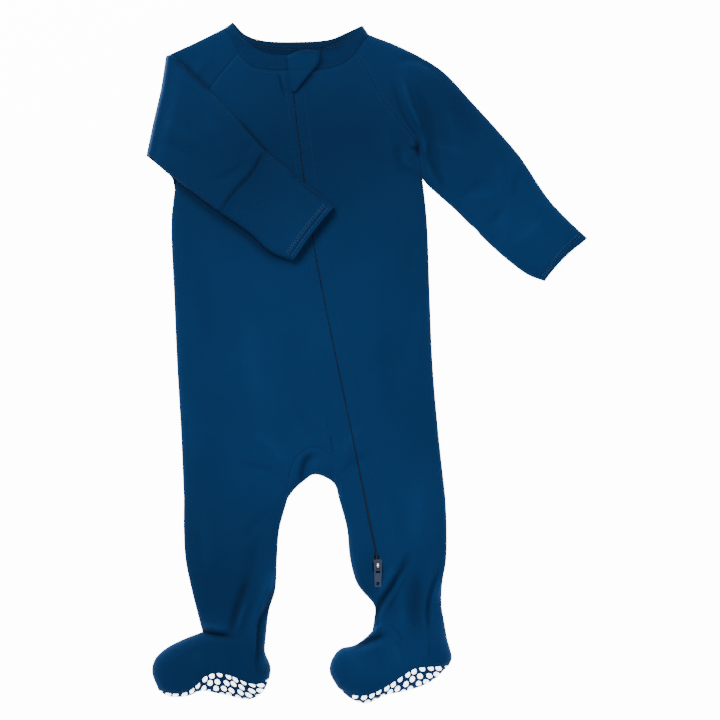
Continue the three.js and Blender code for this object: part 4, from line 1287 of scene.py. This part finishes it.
def all_stitches():
    seam = run(FRONT_NECK, even(200))
    for side in (-1, 1):
        limit = zip_across(seam[:, 1])
        keep = seam[:, 0] < limit - 3 if side < 0 else seam[:, 0] > limit + 3
        for shift in (2.4, -2.4):
            yield from stitch_places(beside(seam[keep], shift), upper_cloth)
    for shift in (4.6, 6.8):
        yield from stitch_places(beside(run(BACK_NECK, even(200)), shift), band_cloth, lift=0.44)
    for side in ("right", "left"):
        covered = np.append(inside(raglan[side], UNDER_FOREARM), True)
        line = raglan[side][: covered.argmax()]
        for shift in (2.0, -2.0):
            yield from stitch_places(beside(line, shift)[1:-1], upper_cloth, lift=0.3)
    yield from stitch_places(along_zip(-5.6, -166, 255), body_cloth)
    yield from stitch_places(along_zip(9.7, -230, 236), body_cloth)
    yield from stitch_places(along_zip(-5.6, -230, -168), body_cloth)
    yield from stitch_places(beside(run(GUSSET_SEAM, even(100)), 1.8), body_cloth)


def hem_stitches():
    yield from cuff_rows(left_net, left_cloth, (4.6, 7.4))
    yield from cuff_rows(mitten_left_net, mitten_cloth, (5.2, 7.4), high=False)
    yield from cuff_rows(mitten_right_net, right_cloth, (3.8, 6.6, 9.0))


stitches = repeated("seam_stitches", one_stitch, all_stitches(), thread)
cuff_stitches = repeated("cuff_stitches", one_stitch, hem_stitches(), cuff_thread)

# ---------------------------------------------------------------- the zip
CHAIN_DROP = 1.25  # the chain lies this far under the middle of the front's cloth
COIL_WIDTH, ZIP_TOP = 4.2, 268.0


def zip_height(up):
    spot = np.column_stack([zip_across(up), up])
    return np.minimum(front_height(spot), 5.6) - CHAIN_DROP


def zip_tape(name, side):
    up = np.linspace(ZIP_TOP, SLIDER_UP + 2, 150)
    across = np.array([0.3, 0.5, 1.2, 3, 5, 7, 9, 10.2])
    net = np.array([
        [(x + side * (COIL_WIDTH / 2 + step), y, z - 0.04 * step) for step in across]
        for x, y, z in zip(zip_across(up), up, np.maximum(zip_height(up), 1.9))
    ])
    return cloth(name, [net], ribbon, thick=0.5, shades=[], gap=0)


tape_right, tape_left = zip_tape("zip_tape_right_ribbon", -1), zip_tape("zip_tape_left_ribbon", 1)


def tooth_shape(bm):
    bmesh.ops.create_cube(bm, size=1)
    bmesh.ops.scale(bm, vec=(0.78, 2.6, 0.62), verts=bm.verts)
    bmesh.ops.bevel(bm, geom=bm.edges[:], offset=0.2, affect="EDGES", segments=1, profile=0.5, material=-1)


def teeth_places():
    count = round((ZIP_TOP - SLIDER_UP) / 0.78)
    up = np.linspace(ZIP_TOP - 1, SLIDER_UP + 2, count)
    line = np.column_stack([zip_across(up), up])
    ahead = np.gradient(line, axis=0)
    heights = np.maximum(zip_height(up), 1.9)
    for n, ((x, y), (dx, dy), z) in enumerate(zip(line, ahead, heights)):
        side = 0.62 if n % 2 else -0.62
        yield standing((x + side, y, z + 0.1), (dx, dy, 0), (0, 0, 1))


coil = repeated("zip_coil_teeth", small_mesh("one_tooth", tooth_shape), teeth_places(), nylon)

PLATE_LOW, PLATE_TOP = 3.5, 4.5
TAB_AXIS, TAB_LENGTH, TAB_WINDOW = 5.45, 19.5, 6.2


def thicken(bm, faces, height):
    made = bmesh.ops.extrude_face_region(bm, geom=faces)["geom"]
    raised = [part for part in made if isinstance(part, bmesh.types.BMVert)]
    bmesh.ops.translate(bm, vec=(0, 0, height), verts=raised)


def slab(bm, outline, low, high):
    """A plate over an outline in plan."""
    face = bm.faces.new([bm.verts.new((x, y, low)) for x, y in outline])
    thicken(bm, [face], high - low)


def soften(bm, size):
    bmesh.ops.recalc_face_normals(bm, faces=bm.faces)
    sharp = [edge for edge in bm.edges if len(edge.link_faces) == 2 and edge.calc_face_angle() > 0.6]
    bmesh.ops.bevel(
        bm, geom=sharp, offset=size, affect="EDGES", segments=2, profile=0.5, material=-1,
        clamp_overlap=True,
    )


def hardware(name, make, size, material):
    bm = bmesh.new()
    make(bm)
    soften(bm, size)
    for face in bm.faces:
        face.smooth = True
    bmesh.ops.scale(bm, vec=(MM, MM, MM), verts=bm.verts)
    obj = new_object(name, bm, material)
    obj.modifiers.new("even_shading", "WEIGHTED_NORMAL")
    return obj


def rounded(x, top, bottom, wide, narrow, corner):
    """An outline with round corners, narrower at its lower end."""
    points = []
    for sign_x, y, half, turn in (
        (1, top, wide / 2, (90, 0)), (1, bottom, narrow / 2, (0, -90)),
        (-1, bottom, narrow / 2, (-90, -180)), (-1, top, wide / 2, (180, 90)),
    ):
        inner = (x + sign_x * (half - corner), y - corner if y == top else y + corner)
        for degrees in np.linspace(*turn, 6):
            angle = math.radians(degrees)
            points.append((inner[0] + corner * math.cos(angle), inner[1] + corner * math.sin(angle)))
    return points


def plates(bm):
    top, bottom = SLIDER_UP + SLIDER_LENGTH / 2, SLIDER_UP - SLIDER_LENGTH / 2
    outline = rounded(SLIDER_ACROSS, top, bottom, 7.6, 5.8, 1.6)
    slab(bm, outline, PLATE_LOW, PLATE_TOP)
    slab(bm, outline, 1.3, 2.1)
    for side in (-1, 1):
        x = SLIDER_ACROSS + side * 3.0
        slab(bm, rounded(x, top - 1.8, bottom + 1.4, 1.2, 1.2, 0.3), PLATE_LOW - 0.5, PLATE_TOP + 0.25)
    slab(bm, rounded(SLIDER_ACROSS, SLIDER_UP + 0.5, bottom + 0.6, 2, 1.4, 0.4), 1.9, PLATE_LOW + 0.2)
    slab(bm, rounded(SLIDER_ACROSS, top - 0.5, top - 2.1, 3.4, 2.2, 0.5), PLATE_TOP - 0.2, PLATE_TOP + 0.35)


def bridge(bm):
    corners = [(-0.9, 2.05, PLATE_TOP), (0.9, 2.05, PLATE_TOP), (0.9, 2.7, PLATE_TOP), (-0.9, 2.7, PLATE_TOP)]
    face = bm.faces.new([bm.verts.new((SLIDER_ACROSS + x, SLIDER_UP + y, z)) for x, y, z in corners])
    bmesh.ops.spin(
        bm, geom=[face, *face.edges, *face.verts], cent=(SLIDER_ACROSS, SLIDER_UP, PLATE_TOP),
        axis=(1, 0, 0), angle=math.pi, steps=14, use_merge=False,
    )


def tab_plate(bm):
    """A tapered plate with a window at each end, and a raised rim round it all."""
    top = SLIDER_UP + 0.5
    ups = [top, top - 1, top - 1 - TAB_WINDOW, top - 15, top - 18.2, top - TAB_LENGTH]
    made = bmesh.ops.create_grid(bm, x_segments=3, y_segments=5, size=0.5)["verts"]
    for vert in made:
        i, j = round((vert.co.x + 0.5) * 3), round((vert.co.y + 0.5) * 5)
        share = (top - ups[j]) / TAB_LENGTH
        half = 3.7 - 0.9 * share
        gap = 1.9 if j < 3 else 1.3
        x = (-half, -gap, gap, half)[i]
        vert.co = (SLIDER_ACROSS + x, ups[j], TAB_AXIS - 0.5)
    holes = []
    for face in bm.faces:
        centre = face.calc_center_median()
        middle = abs(centre.x - SLIDER_ACROSS) < 1
        if middle and (ups[2] < centre.y < ups[1] or ups[4] < centre.y < ups[3]):
            holes.append(face)
    bmesh.ops.delete(bm, geom=holes, context="FACES")
    thicken(bm, bm.faces[:], 0.85)
    bmesh.ops.recalc_face_normals(bm, faces=bm.faces)
    corners = [
        edge for edge in bm.edges
        if abs(edge.verts[0].co.z - edge.verts[1].co.z) > 0.5
        and abs(edge.verts[0].co.x - SLIDER_ACROSS) > 2.5
        and edge.verts[0].co.y in (max(v.co.y for v in bm.verts), min(v.co.y for v in bm.verts))
    ]
    bmesh.ops.bevel(
        bm, geom=corners, offset=1.3, affect="EDGES", segments=5, profile=0.5, material=-1, clamp_overlap=True
    )
    tops = [face for face in bm.faces if face.normal.z > 0.9]
    bmesh.ops.inset_region(bm, faces=tops, thickness=0.55, depth=0, use_even_offset=True)
    inner = [face for face in tops if face.is_valid]
    rim = [face for face in bm.faces if face.normal.z > 0.9 and face not in inner]
    lifted = {vert for face in rim for vert in face.verts if not any(f in inner for f in vert.link_faces)}
    bmesh.ops.translate(bm, vec=(0, 0, 0.15), verts=list(lifted))


slider_body = hardware("zip_slider_plates", plates, 0.18, enamel)
slider_bridge = hardware("zip_slider_bridge", bridge, 0.16, bright_metal)
pull = hardware("zip_pull_tab", tab_plate, 0.16, enamel)

# ---------------------------------------------------------------- rubber dots on the soles
DOT_RADIUS, DOT_PITCH, DOT_HEIGHT = 2.5, 7.3, 0.5


def dome(bm):
    bmesh.ops.create_uvsphere(bm, u_segments=16, v_segments=10, radius=1)
    bmesh.ops.bisect_plane(
        bm, geom=bm.verts[:] + bm.edges[:] + bm.faces[:], plane_co=(0, 0, 0.01), plane_no=(0, 0, -1),
        clear_outer=True,
    )


one_dot = small_mesh("one_dot", dome)


def wrapped_dots(name, nets, start):
    """Domes over both layers of a sole, wrapped over its edge and cut off at its seam."""
    net = np.vstack([nets[0], nets[1][-2::-1]])
    rows, columns = net.shape[:2]
    widths = np.linalg.norm(np.diff(net, axis=0), axis=2).sum(0)
    places = along(net[rows // 4][:, :2])
    total = length(net[rows // 4][:, :2])
    shares = np.linalg.norm(np.diff(net, axis=0), axis=2).cumsum(0) / np.maximum(widths, 1e-6)
    shares = np.vstack([np.zeros(columns), shares])

    def at(s, w):
        """A point of the sole, s along it and w across it from its upper seam."""
        column = np.interp(np.clip(s / total, 0, 1), places, np.arange(columns))
        low = int(min(column, columns - 2))
        part = column - low
        width = widths[low] * (1 - part) + widths[low + 1] * part
        share = np.clip(w, 0.25, max(0.3, width - 0.25)) / max(width, 0.6)
        ends = []
        for c in (low, low + 1):
            ends.append([np.interp(share, shares[:, c], net[:, c, k]) for k in range(3)])
        return Vector(ends[0]) * (1 - part) + Vector(ends[1]) * part

    def normal_at(s, w):
        du = at(s + 0.6, w) - at(s - 0.6, w)
        dv = at(s, w + 0.6) - at(s, w - 0.6)
        return du.cross(dv).normalized() * turn

    turn = 1.0
    if normal_at(total / 2, 3).z < 0:
        turn = -1.0
    bm = bmesh.new()
    for row in range(-1, 12):
        for n in range(int(total / DOT_PITCH) + 1):
            drift = 0.5 * math.sin(2.3 * n + 1.7 * row)
            s = start + DOT_PITCH * (n + 0.5 * (row % 2)) + drift
            w = 1.4 + DOT_PITCH * 0.866 * row + 0.5 * math.cos(1.9 * n - 2.1 * row)
            width = np.interp(np.clip(s / total, 0, 1), places, widths)
            if not (1.2 < s < total - 1.2) or w > width + 1.6 or w < -1.8 or width < 3.2:
                continue
            if width < 9 and n % 2:
                continue
            begin = len(bm.verts)
            bm.from_mesh(one_dot)
            for vert in bm.verts[begin:]:
                x, y, z = vert.co
                spot_s, spot_w = s + x * DOT_RADIUS, w + y * DOT_RADIUS
                vert.co = at(spot_s, spot_w) + normal_at(spot_s, spot_w) * (CLOTH / 2 + DOT_HEIGHT * z - 0.02)
                vert.co.z = max(vert.co.z, 0.02)
    flat_faces = [face for face in bm.faces if face.calc_area() < 1e-4]
    bmesh.ops.delete(bm, geom=flat_faces, context="FACES")
    bmesh.ops.scale(bm, vec=(MM, MM, MM), verts=bm.verts)
    return new_object(name, bm, glowing_rubber)


dots = {
    "right": wrapped_dots("right_sole_dots", sole_nets["right"], 2.0),
    "left": wrapped_dots("left_sole_dots", sole_nets["left"], 3.4),
}

# ---------------------------------------------------------------- bodies, cuts and the end
GARMENT = "garment"
JERSEY, GRIPPER, TAPE, METAL = "navy_jersey", "gripper_jersey", "zip_tape", "zip_metal"
# Each sheet of cloth: its nodes, its slot, its flat width, length and area, in metres, all round on a tube,
# how it is held and what it rests on.
SHEETS = [
    (front_right, "front_right", JERSEY, 0.182, 0.517, 0.0575, "laid", ["back_jersey"]),
    (front_left, "front_left", JERSEY, 0.137, 0.517, 0.0409, "laid", ["back_jersey"]),
    (back, "back", JERSEY, 0.243, 0.531, 0.0995, "laid", ["floor"]),
    (gusset, "gusset", JERSEY, 0.046, 0.088, 0.0021, "folded", ["floor"]),
    (sleeve_right, "sleeve_right", JERSEY, 0.270, 0.260, 0.0358, "folded", ["floor", "front_right_jersey"]),
    (sleeve_left, "sleeve_left", JERSEY, 0.265, 0.245, 0.0317, "laid", ["floor", "left_fold_over_mitten"]),
    (mitten_right, "mitten_right", JERSEY, 0.080, 0.080, 0.0046, "laid", ["right_sleeve_jersey"]),
    (mitten_left, "mitten_left", JERSEY, 0.056, 0.080, 0.0037, "laid", ["floor"]),
    (neckband, "neckband", JERSEY, 0.290, 0.013, 0.0035, "laid", ["floor"]),
    (chin_guard, "chin_guard", JERSEY, 0.029, 0.038, 0.0007, "laid", ["front_right_jersey", "rib_neckband"]),
    (tape_right, "zip_tape_right", TAPE, 0.0105, 0.452, 0.0044, "laid", ["back_jersey"]),
    (tape_left, "zip_tape_left", TAPE, 0.0105, 0.452, 0.0044, "laid", ["back_jersey"]),
]
FOOT_CUTS = {
    "right": {"vamp": (0.135, 0.054, 0.0055), "heel": (0.064, 0.040, 0.0024), "sole": (0.105, 0.040, 0.0023)},
    "left": {"vamp": (0.125, 0.062, 0.0058), "heel": (0.082, 0.034, 0.0021), "sole": (0.105, 0.040, 0.0021)},
}
for foot_side, cuts in FOOT_CUTS.items():
    for kind, cut in cuts.items():
        slot_name = GRIPPER if kind == "sole" else JERSEY
        SHEETS.append((feet[foot_side][kind], f"{kind}_{foot_side}", slot_name, *cut, "laid", ["floor"]))


def belongs(piece, body, slot_name, *nodes):
    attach(piece, body)
    if nodes:
        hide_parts(*nodes)


for piece, node, slot_name, *_ in SHEETS:
    belongs(piece, GARMENT, slot_name, node)
belongs(coil, GARMENT, "zip_coil", "zip_coil")
belongs(slider_body, GARMENT, METAL, "slider")
belongs(slider_bridge, GARMENT, METAL)
belongs(stitches, GARMENT, JERSEY)
belongs(cuff_stitches, GARMENT, JERSEY)
belongs(dots["right"], GARMENT, GRIPPER)
belongs(dots["left"], GARMENT, GRIPPER)
belongs(pull, "pull_tab", METAL, "pull_tab")
for piece, _, _, flat_width, flat_length, flat_area, held, below in SHEETS:
    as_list(below)
